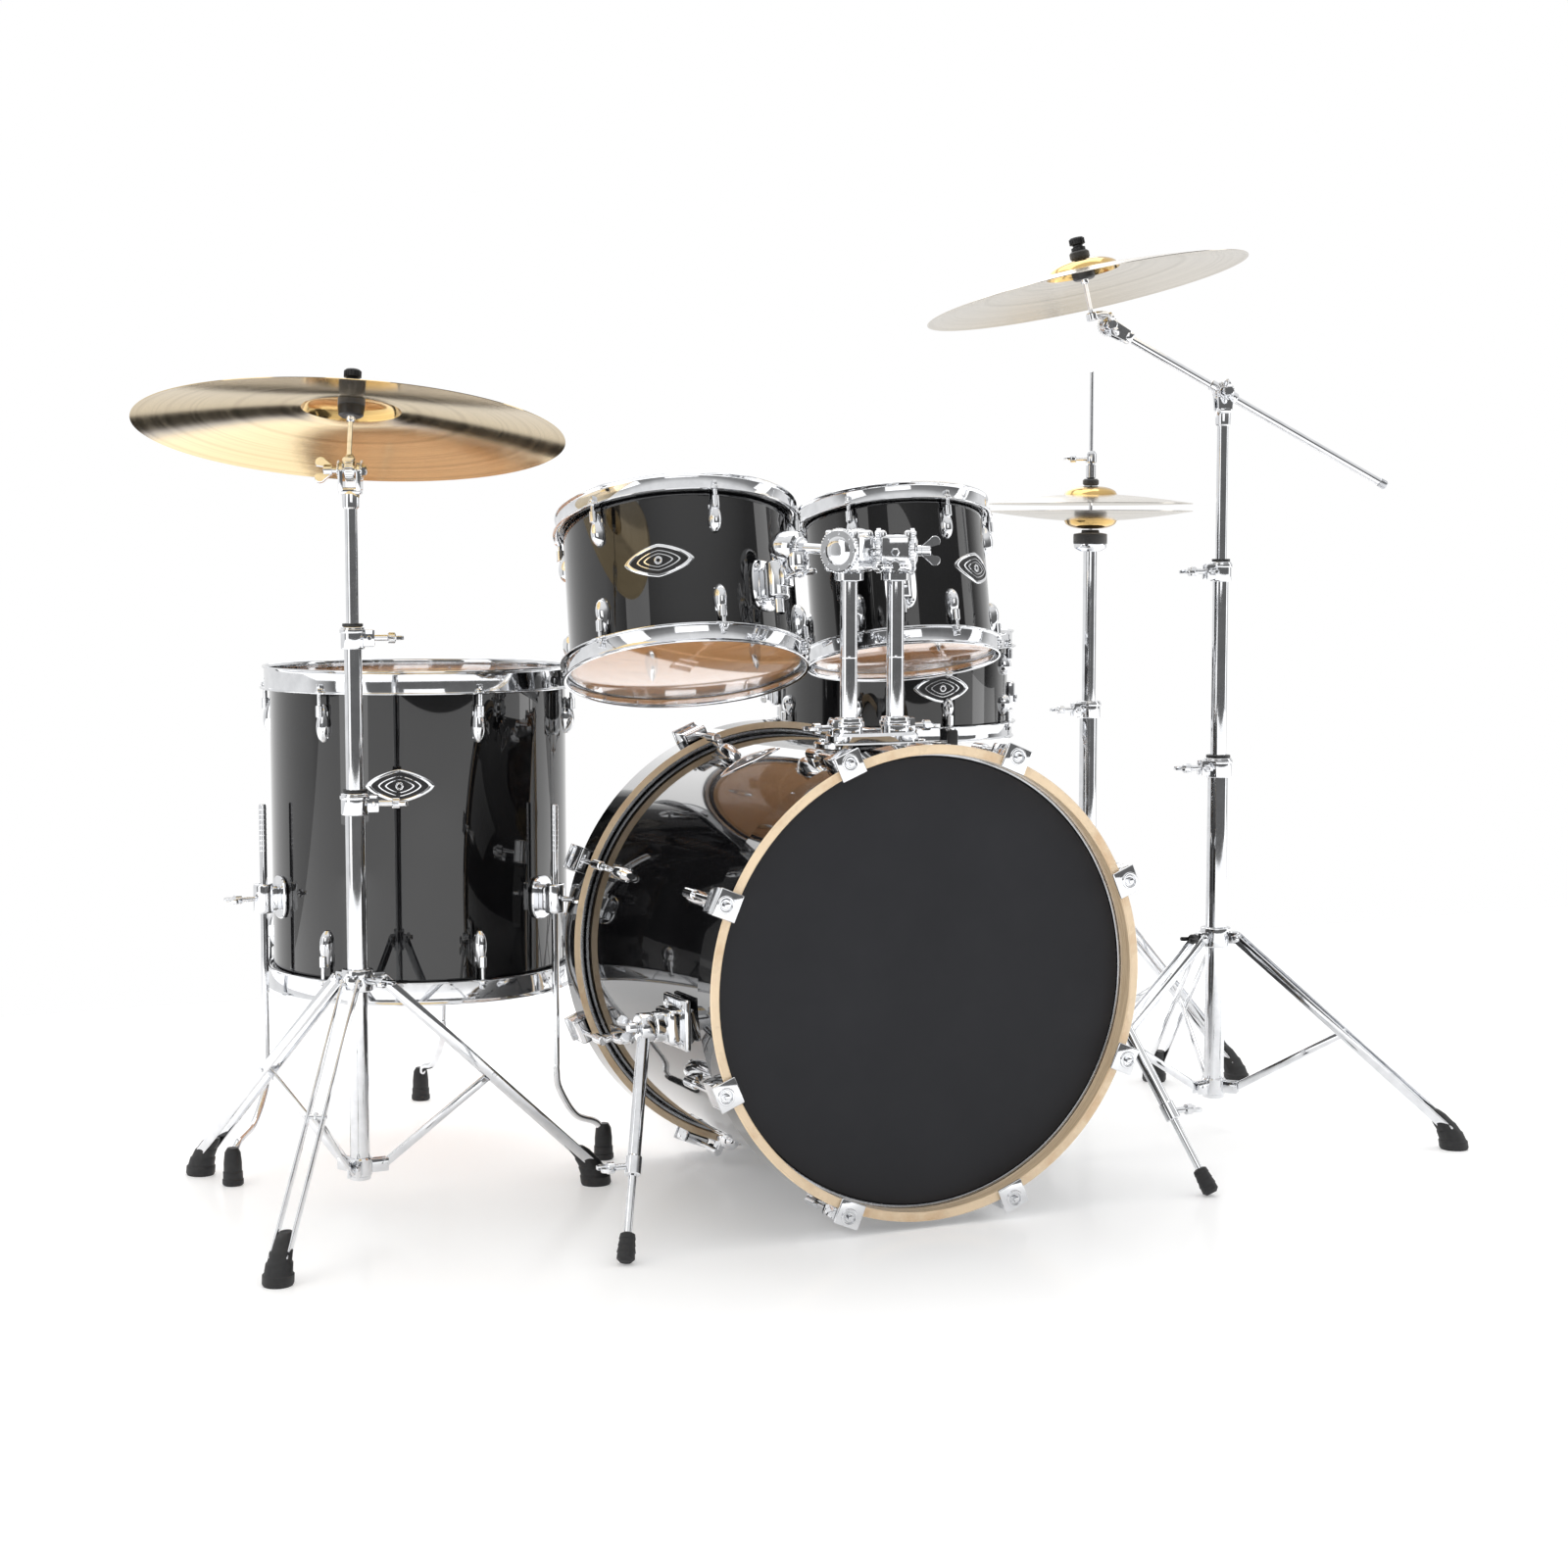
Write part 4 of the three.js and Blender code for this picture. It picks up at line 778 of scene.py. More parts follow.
def bass_drum():
    """Shell, wooden hoops, heads, claws, rods, lugs and badge, on an axis that looks at the audience."""
    place = place_of((0, 0, BASS["height"])) @ spin(90, "X")
    radius, half, hoop, front, inside = (BASS[key] for key in ("radius", "half", "hoop", "front", "inside"))
    make("bass_shell_wood", shell_shape(radius, half, BASS_WALL), [LACQUER, SHELL_MAPLE], "kit_base",
         place, ["bass_shell"])
    for end, turn, film in (("front", Matrix(), BLACK_FILM), ("batter", spin(180, "X"), COATED_FILM)):
        outline = [(hoop, front - 40), (hoop, front - 1.5), (hoop - 1.5, front),
                   (inside + 1.5, front), (inside, front - 1.5), (inside, half + 3),
                   (radius + 7.8, half + 3), (radius + 7.8, front - 40)]
        shape = Shape(lathe(outline, 160))
        shape.numbers = [1 if k % len(outline) == 0 else 0 for k in range(len(shape.faces))]
        make(f"bass_{end}_wood_hoop", shape, [HOOP_MAPLE, LACQUER], "kit_base", place @ turn,
             [f"bass_{end}_hoop"])
        rim = Shape(lathe([(0, half + 1.7), (radius - 8, half + 1.7), (radius - 1, half + 1.3),
                                 (radius + 2, half - 3), (radius + 1.2, half - 3), (radius - 1, half + 0.7),
                                 (0, half + 0.9)], 160))
        rim.add(ring(radius + 0.9, radius + 7, half - 9, half + 1.6, 160, 1.5), None, 1)
        make(f"bass_{end}_film", rim, [film, STEEL], "kit_base", place @ turn, [f"bass_{end}_head"])
    claws, lugs, rods = Shape(), Shape(), Shape()
    for turn_angle in BASS_TURNS:
        for end in (-1, 1):
            turn = spin(turn_angle) @ (Matrix() if end > 0 else spin(180, "X"))
            claw_section = [(hoop + 0.6, front - 36), (hoop + 13, front - 36), (hoop + 14.5, front - 32),
                            (hoop + 13.5, front - 8), (hoop + 8, front + 3), (hoop - 8, front + 4.5),
                            (hoop - 9, front + 0.6), (hoop + 0.6, front + 0.6)]
            section = rounded(claw_section, 2.2, 3)
            claws.add(loft([[(x, y, z) for x, z in section] for y in (-14.5, -16, -16, 16, 16, 14.5)]), turn)
            claws.add(slab((32, 35, 3.4), (hoop + 1.5, 0, front + 3.4), 1.6, 3), turn)
            for side in (-1, 1):
                claws.add(slab((15, 2.4, 30), (hoop + 7, side * 15.6, front - 17), 1.4), turn)
            claws.add(ring(7.6, 11, front + 4, front + 7, 40, 1.2), turn @ at(hoop + 5))
            claws.add(puck(7, front + 1, front + 5.6, 1, 28), turn @ at(hoop + 5))
            claws.add(slab((6.4, 6.4, 7), (hoop + 5, 0, front + 7), 0.9), turn)
            rods.add(bar((hoop + 8.5, 0, front - 34), (hoop + 8.5, 0, 160), 3.2, 16), turn)
            lugs.add(pod(70, 26, 25, 0.5), turn @ at(radius - 2, 0, 136))
            lugs.add(slab((3, 19, 62), (radius + 1, 0, 138), 1.3), turn)
            lugs.add(bar((hoop + 8.5, 0, 146), (hoop + 8.5, 0, 174), 6.4, 24, 1.4), turn)
            lugs.add(slab((22, 9, 20), (hoop - 4, 0, 150), 3), turn)
    chrome("bass_claws", claws, "kit_base", place)
    chrome("bass_tension_rods", rods, "kit_base", place)
    chrome("bass_lugs", lugs, "kit_base", place)
    make("bass_badge", badge_shape(radius), [CHROME, BLACK_METAL], "kit_base",
         place @ spin(112.5) @ at(0, 0, -60))


def spur_bracket(side):
    x, y, z = SPUR_HINGE
    shape = Shape(slab((36, 52, 44), (side * (x - 40), y, z), 7, 4))
    shape.add(slab((8, 76, 64), (side * 286, y, z + 4), 3.5, 3))
    screw = disc_stack([(5, 0), (5, 2.4), (3, 3.6)], 16)
    for dy, dz in ((-28, 24), (28, 24), (-28, -20), (28, -20)):
        shape.add(screw, at(side * 288, y + dy, z + dz) @ spin(90 * side, "Y"))
    shape.add(bar((side * (x - 26), y, z), (side * (x - 10), y, z), 19, 36, 2))
    shape.add(bar((side * (x - 12), y, z), (side * (x + 12), y, z), 5, 20))
    return shape.add(wing(36, 22, 5), at(side * (x + 11), y, z) @ spin(90 * side, "Y") @ spin(35))


def spurs():
    for name, side in (("left_spur", -1), ("right_spur", 1)):
        chrome(f"{name}_bracket", spur_bracket(side), "kit_base")
        hinge = Vector((side * SPUR_HINGE[0], SPUR_HINGE[1], SPUR_HINGE[2]))
        foot = Vector((side * SPUR_FOOT[0], SPUR_FOOT[1], SPUR_FOOT[2])) - hinge
        direction = foot.normalized()
        place = at(*hinge)
        body = Shape(lathe(rounded([(6, -9), (18, -9), (18, 9), (6, 9)], 2), 48), spin(90, "Y"))
        for k in range(24):
            body.add(slab((1.6, 1.2, 5), (0, 0, 15.5), 0.3), spin(15 * k, "X") @ at(side * -8.6))
        body.add(bar(direction * 14, foot * 0.62, 8, 28))
        body.add(bar(foot * 0.55, foot * 0.63, 10, 28, 1.4))
        chrome(f"{name}_tube", body, name, place, [name])
        rod = Shape(bar(foot * 0.6, foot * 0.9, 5, 24))
        chrome(f"{name}_rod", rod, name, place)
        turn = turned_to(direction, "-Z")
        bolt = Shape(wing_bolt(18, 30), at(*(foot * 0.59)) @ spin(90 + 90 * side) @ at(-8))
        chrome(f"{name}_wing_bolt", bolt, name, place)
        levels = [(5.5, 0), (9, 2), (10, 8), (9.4, 9), (10.6, 16), (10, 17), (11.4, 24), (10.6, 25),
                  (11, 32), (7, 36)]
        tip = Shape(disc_stack([(r, -h) for r, h in levels], 32), at(*(foot * 0.865)) @ turn)
        make(f"{name}_rubber_tip", tip, RUBBER, name, place)


def tom_holder():
    y, top = HOLDER["y"], HOLDER["top"]
    shape = Shape()
    outline = oval(150, 84, 3.2, 48)
    shape.add(plate(outline, 9, 2), at(0, y, 590))
    shape.add(plate([(u * 0.8, v * 0.8) for u, v in outline], 16, 4), at(0, y, 598))
    for side in (-1, 1):
        x = side * HOLDER["apart"]
        shape.add(ring(12.4, 18, 590, top, 48, 2), at(x, y, 0))
        shape.add(ring(12.4, 20, top - 12, top - 5, 48, 1.5), at(x, y, 0))
        shape.add(slab((12, 16, 22), (x + side * 20, y, top - 13), 2.5))
        shape.add(wing_bolt(20, 32), at(x + side * 22, y, top - 13) @ spin(90 + 90 * side))
    for dx, dy in ((-58, -24), (58, -24), (-58, 24), (58, 24)):
        shape.add(disc_stack([(6, 0), (6, 2.5), (3.5, 4)], 20), at(dx, y + dy, 593.5))
    chrome("tom_holder", shape, "kit_base")


def gear_disc(radius, thick, teeth=28):
    """A ratchet face: a disc along X with radial teeth on its rim."""
    shape = Shape(puck(radius, -thick / 2, thick / 2, 1.4, 48), spin(90, "Y"))
    for k in range(teeth):
        shape.add(slab((thick * 0.72, 2, 3), (0, 0, radius), 0.5), spin(360 * k / teeth, "X"))
    return shape


def wall_plate(width, height):
    """A rounded plate that lies against a shell, facing +X."""
    return Shape(plate(oval(width, height, 3), 5, 1.6), spin(90, "Y") @ spin(90))


def mounted_tom(name, side, spec, place):
    """One of the two toms over the bass drum: post, tilter, bent arm, bracket and drum."""
    base = (side * HOLDER["apart"], HOLDER["y"])
    post = Shape(ring(9, 11, HOLDER["low"], HOLDER["high"] - 2, 48, 0.6))
    post.add(disc_stack([(11, 700), (11.3, 701), (11.3, 702), (11, 703)], 48))
    post.add(puck(5.8, HOLDER["high"] - 4, HOLDER["high"] + 12, 1, 24))
    chrome(f"{name}_post_tube", post, f"{name}_post", at(*base, 0), [f"{name}_post"])

    own = drum(name, f"{name}_drum", spec, place, {"top": CLEAR_FILM, "bottom": CLEAR_FILM}, place["badge"])
    turn = math.radians(place["bracket"] - place["azimuth"])
    out = spec["radius"] + 26
    radial = Vector((math.cos(turn), math.sin(turn), 0))
    elbow = own @ (radial * out + Vector((0, 0, 16)))
    end = own @ (radial * out + Vector((0, 0, -74)))
    pivot = Vector((*base, HOLDER["tilter"]))
    heading = math.degrees(math.atan2(elbow.y - pivot.y, elbow.x - pivot.x))

    low = HOLDER["high"] + 0.6 - HOLDER["tilter"]
    spot = place_of(pivot, (0, 0, 1), heading - 90)
    collar = [(15, low - 9), (18.5, low - 7.5), (18.5, low + 1), (16, low + 2), (16, low + 5),
              (19.5, low + 6.5), (19.5, low + 13), (14, low + 17)]
    body = Shape(disc_stack(collar, 48))
    for k in (-1, 1):
        body.add(slab((10, 50, 52), (k * 16, 0, 4), 9, 5))
        body.add(gear_disc(27, 8, 44), at(k * 21.5, 0, 4))
        body.add(disc_stack([(18, 0), (18, 1), (14, 3), (8, 3.6)], 40), at(k * 25, 0, 4) @ spin(90 * k, "Y"))
        for j in range(8):
            spoke = at(k * 25.4, 0, 4) @ spin(45 * j, "X") @ at(0, 0, 22) @ spin(90 * k, "Y")
            body.add(disc_stack([(2.2, 0), (2.2, 1)], 12), spoke)
    body.add(slab((40, 12, 44), (0, -20, 2), 5, 4))
    body.add(disc_stack([(6, 0), (6, 3), (4, 5)], 6), at(0, -25.5, 2) @ spin(90, "X"))
    body.add(wing_bolt(22, 34), at(0, -19, low + 10) @ spin(90))
    chrome(f"{name}_tilter_housing", body, f"{name}_tilter", spot, [f"{name}_tilter"])

    arm_place = place_of((pivot.x, pivot.y, pivot.z + 4), (0, 0, 1), heading - 90)
    local = arm_place.inverted()
    bend, tip = local @ elbow, local @ end
    arm = Shape(gear_disc(15, 20, 24))
    arm.add(bar((-24, 0, 0), (24, 0, 0), 4.2, 16))
    run = bend.normalized()
    drop = (tip - bend).normalized()
    path = [Vector((0, 0, 0)), bend - run * 16]
    path += [(bend - run * 16) * (1 - t) ** 2 + bend * 2 * t * (1 - t) + (bend + drop * 16) * t * t
             for t in [k / 8 for k in range(1, 9)]]
    arm.add(sweep(path + [tip], 6.5, 24))
    arm.add(bar(run * 14, run * 30, 11, 32, 2))
    swivel = at(*(bend - run * 44)) @ turned_to(run)
    ball = [(11, 0), (13, 2), (13, 6), (19, 8), (21, 13), (21, 30), (19, 37), (14, 44), (8, 48)]
    arm.add(disc_stack(ball, 48), swivel)
    for k in range(32):
        arm.add(slab((1.6, 2.2, 6), (0, 0, 0), 0.5), swivel @ spin(11.25 * k) @ at(13.2, 0, 4))
    socket = at(*(bend - run * 35)) @ turned_to(drop)
    arm.add(disc_stack([(15, 10), (15, 26), (12, 32), (9, 36)], 40), socket)
    if side > 0:
        arm.add(wing(38, 24, 6), at(33, 0, 0) @ spin(90, "Y"))
        arm.add(bar((20, 0, 0), (34, 0, 0), 7, 24, 1.5))
    chrome(f"{name}_l_arm", arm, f"{name}_arm", arm_place, [f"{name}_arm"])

    bracket = Shape()
    face = spin(place["bracket"] - place["azimuth"])
    bracket.add(wall_plate(44, 68), face @ at(spec["radius"] + 2, 0, -30))
    bracket.add(slab((22, 22, 42), (spec["radius"] + 13, 0, -30), 6, 4), face)
    bracket.add(ring(8, 15, -54, -6, 40, 3), face @ at(out))
    bracket.add(slab((10, 20, 24), (out + 16, 0, -30), 3), face)
    bracket.add(wing_bolt(22, 36), face @ at(out + 18, 0, -30) @ spin(180))
    for dz in (-22, 22):
        for dy in (-14, 14):
            bolt = disc_stack([(4.5, 0), (4.5, 2), (2.6, 3.4)], 16)
            bracket.add(bolt, face @ at(spec["radius"] + 4, dy, -30 + dz) @ spin(90, "Y"))
    chrome(f"{name}_bracket", bracket, f"{name}_drum", own)


def floor_tom():
    spec = dict(FLOOR_TOM, badge_z=70)
    own = drum("floor_tom", "kit_base", spec, FLOOR_PLACE, {"top": CLEAR_FILM, "bottom": CLEAR_FILM}, 246)
    height = FLOOR_LEG["bracket"] - FLOOR_PLACE["centre"][2]
    brackets = Shape()
    for i, azimuth in enumerate(FLOOR_LEG["azimuth"], 1):
        face = spin(azimuth - FLOOR_PLACE["azimuth"])
        brackets.add(wall_plate(46, 58), face @ at(spec["radius"] + 2, 0, height))
        brackets.add(slab((18, 22, 34), (spec["radius"] + 10, 0, height), 5, 4), face)
        brackets.add(ring(6.4, 14, height - 20, height + 20, 40, 4), face @ at(FLOOR_LEG["out"]))
        brackets.add(wing_bolt(24, 36), face @ at(FLOOR_LEG["out"] + 10, 0, height) @ spin(180))
        shaft = own @ (face @ Vector((FLOOR_LEG["out"], 0, -FLOOR_PLACE["centre"][2])))
        dx, dy = FLOOR_SPLAY[i - 1]
        bends = [(0, 0, 140), (0, 0, 130), (dx * 0.06, dy * 0.06, 104), (dx * 0.4, dy * 0.4, 66),
                 (dx * 0.85, dy * 0.85, 52), (dx, dy, 30)]
        path = [(0, 0, FLOOR_LEG["top"]), (0, 0, FLOOR_LEG["top"] - 2)] + curve_points(bends, 8)
        leg = Shape(sweep(path, [4] + [5] * (len(path) - 1), 24))
        for z in range(430, FLOOR_LEG["top"] - 4, 7):
            leg.add(lathe([(4.8, z), (5.25, z + 1), (5.25, z + 2), (4.8, z + 3)], 24))
        place = at(shaft.x, shaft.y, 0)
        chrome(f"floor_tom_leg_{i}_rod", leg, f"floor_tom_leg_{i}", place, [f"floor_tom_leg_{i}"])
        levels = [(12, 0), (14, 2), (14, 8), (13, 9), (13, 18), (12, 19), (12, 30), (10.5, 44), (7, 50)]
        make(f"floor_tom_foot_{i}", Shape(disc_stack(levels, 36), at(dx, dy, 0)), RUBBER,
             f"floor_tom_leg_{i}", place)
    chrome("floor_tom_leg_brackets", brackets, "kit_base", own)


def snare_drum():
    own = drum("snare", "snare_drum", SNARE, SNARE_PLACE, {"top": COATED_FILM, "bottom": CLEAR_FILM}, 268)
    face = spin(STRAINER_AZIMUTH - SNARE_PLACE["azimuth"])
    radius = SNARE["radius"]
    strainer = Shape(slab((14, 34, 60), (radius + 6, 0, -4), 4, 3), face)
    strainer.add(slab((8, 22, 40), (radius + 14.5, 0, -8), 3, 3), face)
    strainer.add(bar((radius + 12, 0, 26), (radius + 12, 0, 46), 7, 24, 1.5), face)
    for k in range(16):
        strainer.add(slab((1.4, 1.4, 12), (7, 0, 38), 0.4), face @ at(radius + 12) @ spin(22.5 * k))
    chrome("snare_strainer_body", strainer, "snare_drum", own)
    butt = Shape(slab((13, 30, 44), (radius + 5.5, 0, -20), 4, 3), face @ spin(180))
    butt.add(slab((4, 34, 12), (radius + 13, 0, -24), 1.4), face @ spin(180))
    chrome("snare_butt_plate", butt, "snare_drum", own)
    wires = Shape()
    low = -SNARE["length"] / 2 - 4
    for k in range(20):
        y = (k - 9.5) * 2.1
        coil = [(-150 + 3 * j, y, low + 0.5 * math.sin(j * 2.2)) for j in range(101)]
        wires.add(sweep(coil, 0.8, 6), face)
    for side in (-1, 1):
        wires.add(slab((12, 46, 1.6), (side * 154, 0, low), 0.6), face)
    make("snare_wires", wires, STEEL, "snare_drum", own)
    spot = own @ face @ Vector((radius + 19.4, 0, -26))
    lever = Shape(bar((5, -12, 0), (5, 12, 0), 5, 24))
    lever.add(loft([[(2 + 0.6 * t, -w, z), (8 - 0.6 * t, -w, z), (8 - 0.6 * t, w, z), (2 + 0.6 * t, w, z)]
                    for z, w, t in ((0, 6, 0), (20, 6, 0), (40, 7, 0), (58, 8, 0), (62, 6.5, 2))]))
    chrome("snare_throw_lever", lever, "snare_strainer_lever",
         place_of(spot, (0, 0, 1), STRAINER_AZIMUTH), ["snare_strainer_lever"])


def snare_stand():
    x, y = SNARE_PLACE["centre"][:2]
    place = at(x, y, 0)
    clamp_z, basket = SNARE_STAND["clamp"], SNARE_STAND["basket"]
    tube = tube_shape(SNARE_STAND["hub"], clamp_z, NARROW_TUBE, 10.4)
    tube.add(clamp(clamp_z, 10.2, 18))
    chrome("snare_stand_tube", tube, "kit_base", place, ["snare_stand_base"])
    fixed_tripod("snare_stand", SNARE_STAND, NARROW_TUBE, SNARE_LEGS, "kit_base", place)
    rest = SNARE_PLACE["centre"][2] - SNARE["length"] / 2 - SNARE["rim"] - 0.6
    grip = SNARE["radius"] + 14 + 3
    shape = tube_shape(SNARE_STAND["basket_from"], basket, 9.5)
    shape.add(disc_stack([(12, basket - 16), (20, basket - 12), (21, basket), (18, basket + 9),
                          (10, basket + 12)], 40))
    pads = Shape()
    for azimuth in (30, 150, 270):
        turn = spin(azimuth)
        arm = [(8, 0, basket), (60, 0, basket + 4), (120, 0, rest - 12), (grip - 8, 0, rest - 6)]
        shape.add(sweep(curve_points(arm, 8), 5.5, 20, 0.8), turn)
        shape.add(slab((26, 12, 5), (grip - 8, 0, rest - 5), 2), turn)
        pads.add(slab((30, 17, 6), (grip - 9, 0, rest - 3), 2.4, 3), turn)
        pads.add(slab((6, 17, 28), (grip + 4, 0, rest + 8), 2.6, 3), turn)
    chrome("snare_basket_arms", shape, "snare_drum", place, ["snare_basket"])
    make("snare_basket_grips", pads, RUBBER, "snare_drum", place)


# ---------- cymbals and stands ----------
def cymbal_profile(shape, thick=1.3):
    """The upper line of a cymbal from its hole to its edge, [radius, height]."""
    radius, bell, bow, height = shape["radius"], shape["bell"], shape["bow"], shape["height"]
    line = [(6.6, height)]
    for k in range(1, 13):
        t = k / 12
        line.append((6.6 + (bell - 6.6) * t, bow + (height - bow) * math.sqrt(max(0, 1 - t ** 2.3))))
    line[-1] = (bell, bow + 0.6)
    for k in range(1, 25):
        t = k / 24
        line.append((bell + 2 + (radius - bell - 2) * t, bow * (1 - t ** 1.35) * (1 - 0.02 * t)))
    under = [(r, z - thick * (1 - 0.35 * r / radius)) for r, z in line]
    return line, under


def cymbal_shape(shape):
    """Slot 0 the bow, slot 1 the bell."""
    line, under = cymbal_profile(shape)
    outline = line + under[::-1]
    result = Shape(lathe(outline, 160))
    n = len(outline)
    bells = set(range(12)) | set(range(n - 13, n))
    result.numbers = [1 if k % n in bells else 0 for k in range(len(result.faces))]
    return result


def cymbal(name, shape, place, material, body, flip=False):
    own = place_of(place["centre"], place["axis"])
    if flip:
        own = own @ spin(180, "X")
    make(name + "_plate", cymbal_shape(shape), [material, BELL_BRONZE], body, own, [name])


def cymbal_seat(name, body, shape, place, below):
    """Threaded rod, cup, sleeve, felts and top nut on a cymbal's axis."""
    own = place_of(place["centre"], place["axis"])
    height = shape["height"]
    seat = height - 3.6
    metal = Shape(bar((0, 0, -below), (0, 0, height + 31), 3.1, 20))
    for k in range(8):
        metal.add(lathe([(3, height + 24 + k), (3.5, height + 24.4 + k), (3, height + 24.8 + k)], 16))
    metal.add(disc_stack([(5, seat - 30), (5.6, seat - 28), (5.6, seat - 16), (4, seat - 14)], 36))
    chrome(f"{name}_rod", metal, body, own)
    felts = Shape()
    felts.add(puck(17, seat - 11, seat + 0.6, 2, 36))
    felts.add(puck(14, height + 1.4, height + 13, 2.4, 36))
    make(f"{name}_felts", felts, FELT, body, own)
    sleeve = Shape(ring(3.6, 5, seat - 10, height + 16, 24, 0.5))
    sleeve.add(disc_stack([(13, seat - 24), (15.5, seat - 22), (17, seat - 11)], 36))
    make(f"{name}_sleeve", sleeve, NYLON, body, own)
    nut_levels = [(9, 13), (10, 14), (10, 18), (7, 19), (7, 21), (10, 22.5), (10.6, 30), (9, 32)]
    nut = Shape(disc_stack([(r, height + z) for r, z in nut_levels], 32))
    for k in range(18):
        nut.add(slab((1.2, 1.6, 8), (0, 0, 0), 0.4), spin(20 * k) @ at(10.4, 0, height + 26.5))
    make(f"{name}_top_nut", nut, BLACK_METAL, body, own)
    return own


def add_pin(shape):
    """The pivot pin through a pair of ears and the wing bolt on its end."""
    shape.add(bar((-24, 0, 0), (17, 0, 0), 4, 18))
    shape.add(wing(34, 22, 5), at(-22) @ spin(-90, "Y") @ spin(20))


def tilter(name, pivot, azimuth, shape, place):
    """The tilting half of a cymbal tilter, between the stand's ears."""
    own = place_of(pivot, (0, 0, 1), azimuth)
    seat_place = cymbal_seat(name, name, shape, place, 40)
    stub = own.inverted() @ (seat_place @ Vector((0, 0, -37)))
    body = Shape(gear_disc(13, 13, 24))
    body.add(sweep(curve_points([(0, 0, 0), (0, 0, 14), stub * 0.6 + Vector((0, 0, 8)), stub], 6), 5.6, 20))
    body.add(puck(8, -4, 7, 1.6, 32), own.inverted() @ seat_place @ at(0, 0, -38))
    add_pin(body)
    body.add(disc_stack([(6.5, 0), (6.5, 4), (4, 5.6)], 6), at(15, 0, 0) @ spin(90, "Y"))
    chrome(f"{name}_body", body, name, own, [name])


def ear(radius, half, low):
    """A round-topped ear in the YZ plane, with its foot that far from the origin."""
    angles = [math.radians(10 * k) for k in range(19)]
    outline = [(radius * math.cos(a), radius * math.sin(a)) for a in angles]
    return Shape(plate(outline + [(-half, low), (half, low)], 5.6, 1.2), spin(90) @ spin(90, "X"))


def ears(pivot):
    """Two ears and the neck below them."""
    shape = Shape()
    for side in (-1, 1):
        shape.add(ear(12, 10, -24), at(side * 11, 0, pivot - 2))
        shape.add(gear_disc(11, 2.4, 20), at(side * 14.4, 0, pivot))
    shape.add(slab((28, 18, 9), (0, 0, pivot - 26), 3, 3))
    neck = [(8.6, pivot - 48), (10.5, pivot - 46), (11, pivot - 30), (9, pivot - 26)]
    return shape.add(disc_stack(neck, 36))


def stand_tubes(name, stand, azimuth):
    """The lower, middle and top tubes of a cymbal stand, its ears turned to the azimuth."""
    place = at(*stand["at"])
    outer, turn, pivot = stand["tube"], spin(stand["clamp_turn"]), stand["pivot"]
    lower = tube_shape(stand["hub"] - 8, stand["low"], outer, LOWER_BORE)
    lower.add(clamp(stand["low"], 11.8, outer + 5), turn)
    chrome(f"{name}_lower_tube", lower, "kit_base", place, [f"{name}_stand_base"])
    middle = tube_shape(stand["middle_from"], stand["high"], MIDDLE_TUBE, MIDDLE_BORE)
    middle.add(clamp(stand["high"], 8.7, 15), turn)
    chrome(f"{name}_middle_pipe", middle, f"{name}_middle_tube", place, [f"{name}_middle_tube"])
    top = tube_shape(stand["top_from"], pivot - 28, TOP_TUBE)
    top.add(ears(pivot), spin(azimuth))
    chrome(f"{name}_top_pipe", top, f"{name}_top_tube", place, [f"{name}_top_tube"])
    for part, level, radius in (("lower", stand["low"] + 15, outer + 3), ("middle", stand["high"] + 15, 13)):
        bush = Shape(ring(MIDDLE_BORE if part == "middle" else 11.8, radius, level - 1, level + 3, 40, 1))
        body = "kit_base" if part == "lower" else f"{name}_middle_tube"
        make(f"{name}_{part}_bush", bush, NYLON, body, place)


def ride_stand():
    place = at(*RIDE["at"])
    stand_tubes("ride", RIDE, RIDE_EARS)
    fixed_tripod("ride_stand", RIDE, NARROW_TUBE, RIDE_LEGS, "kit_base", place)
    tilter("ride_tilter", (*RIDE["at"][:2], RIDE["pivot"]), RIDE_EARS, RIDE_SHAPE, RIDE_PLACE)
    cymbal("ride_cymbal", RIDE_SHAPE, RIDE_PLACE, RIDE_BRONZE, "ride_cymbal")


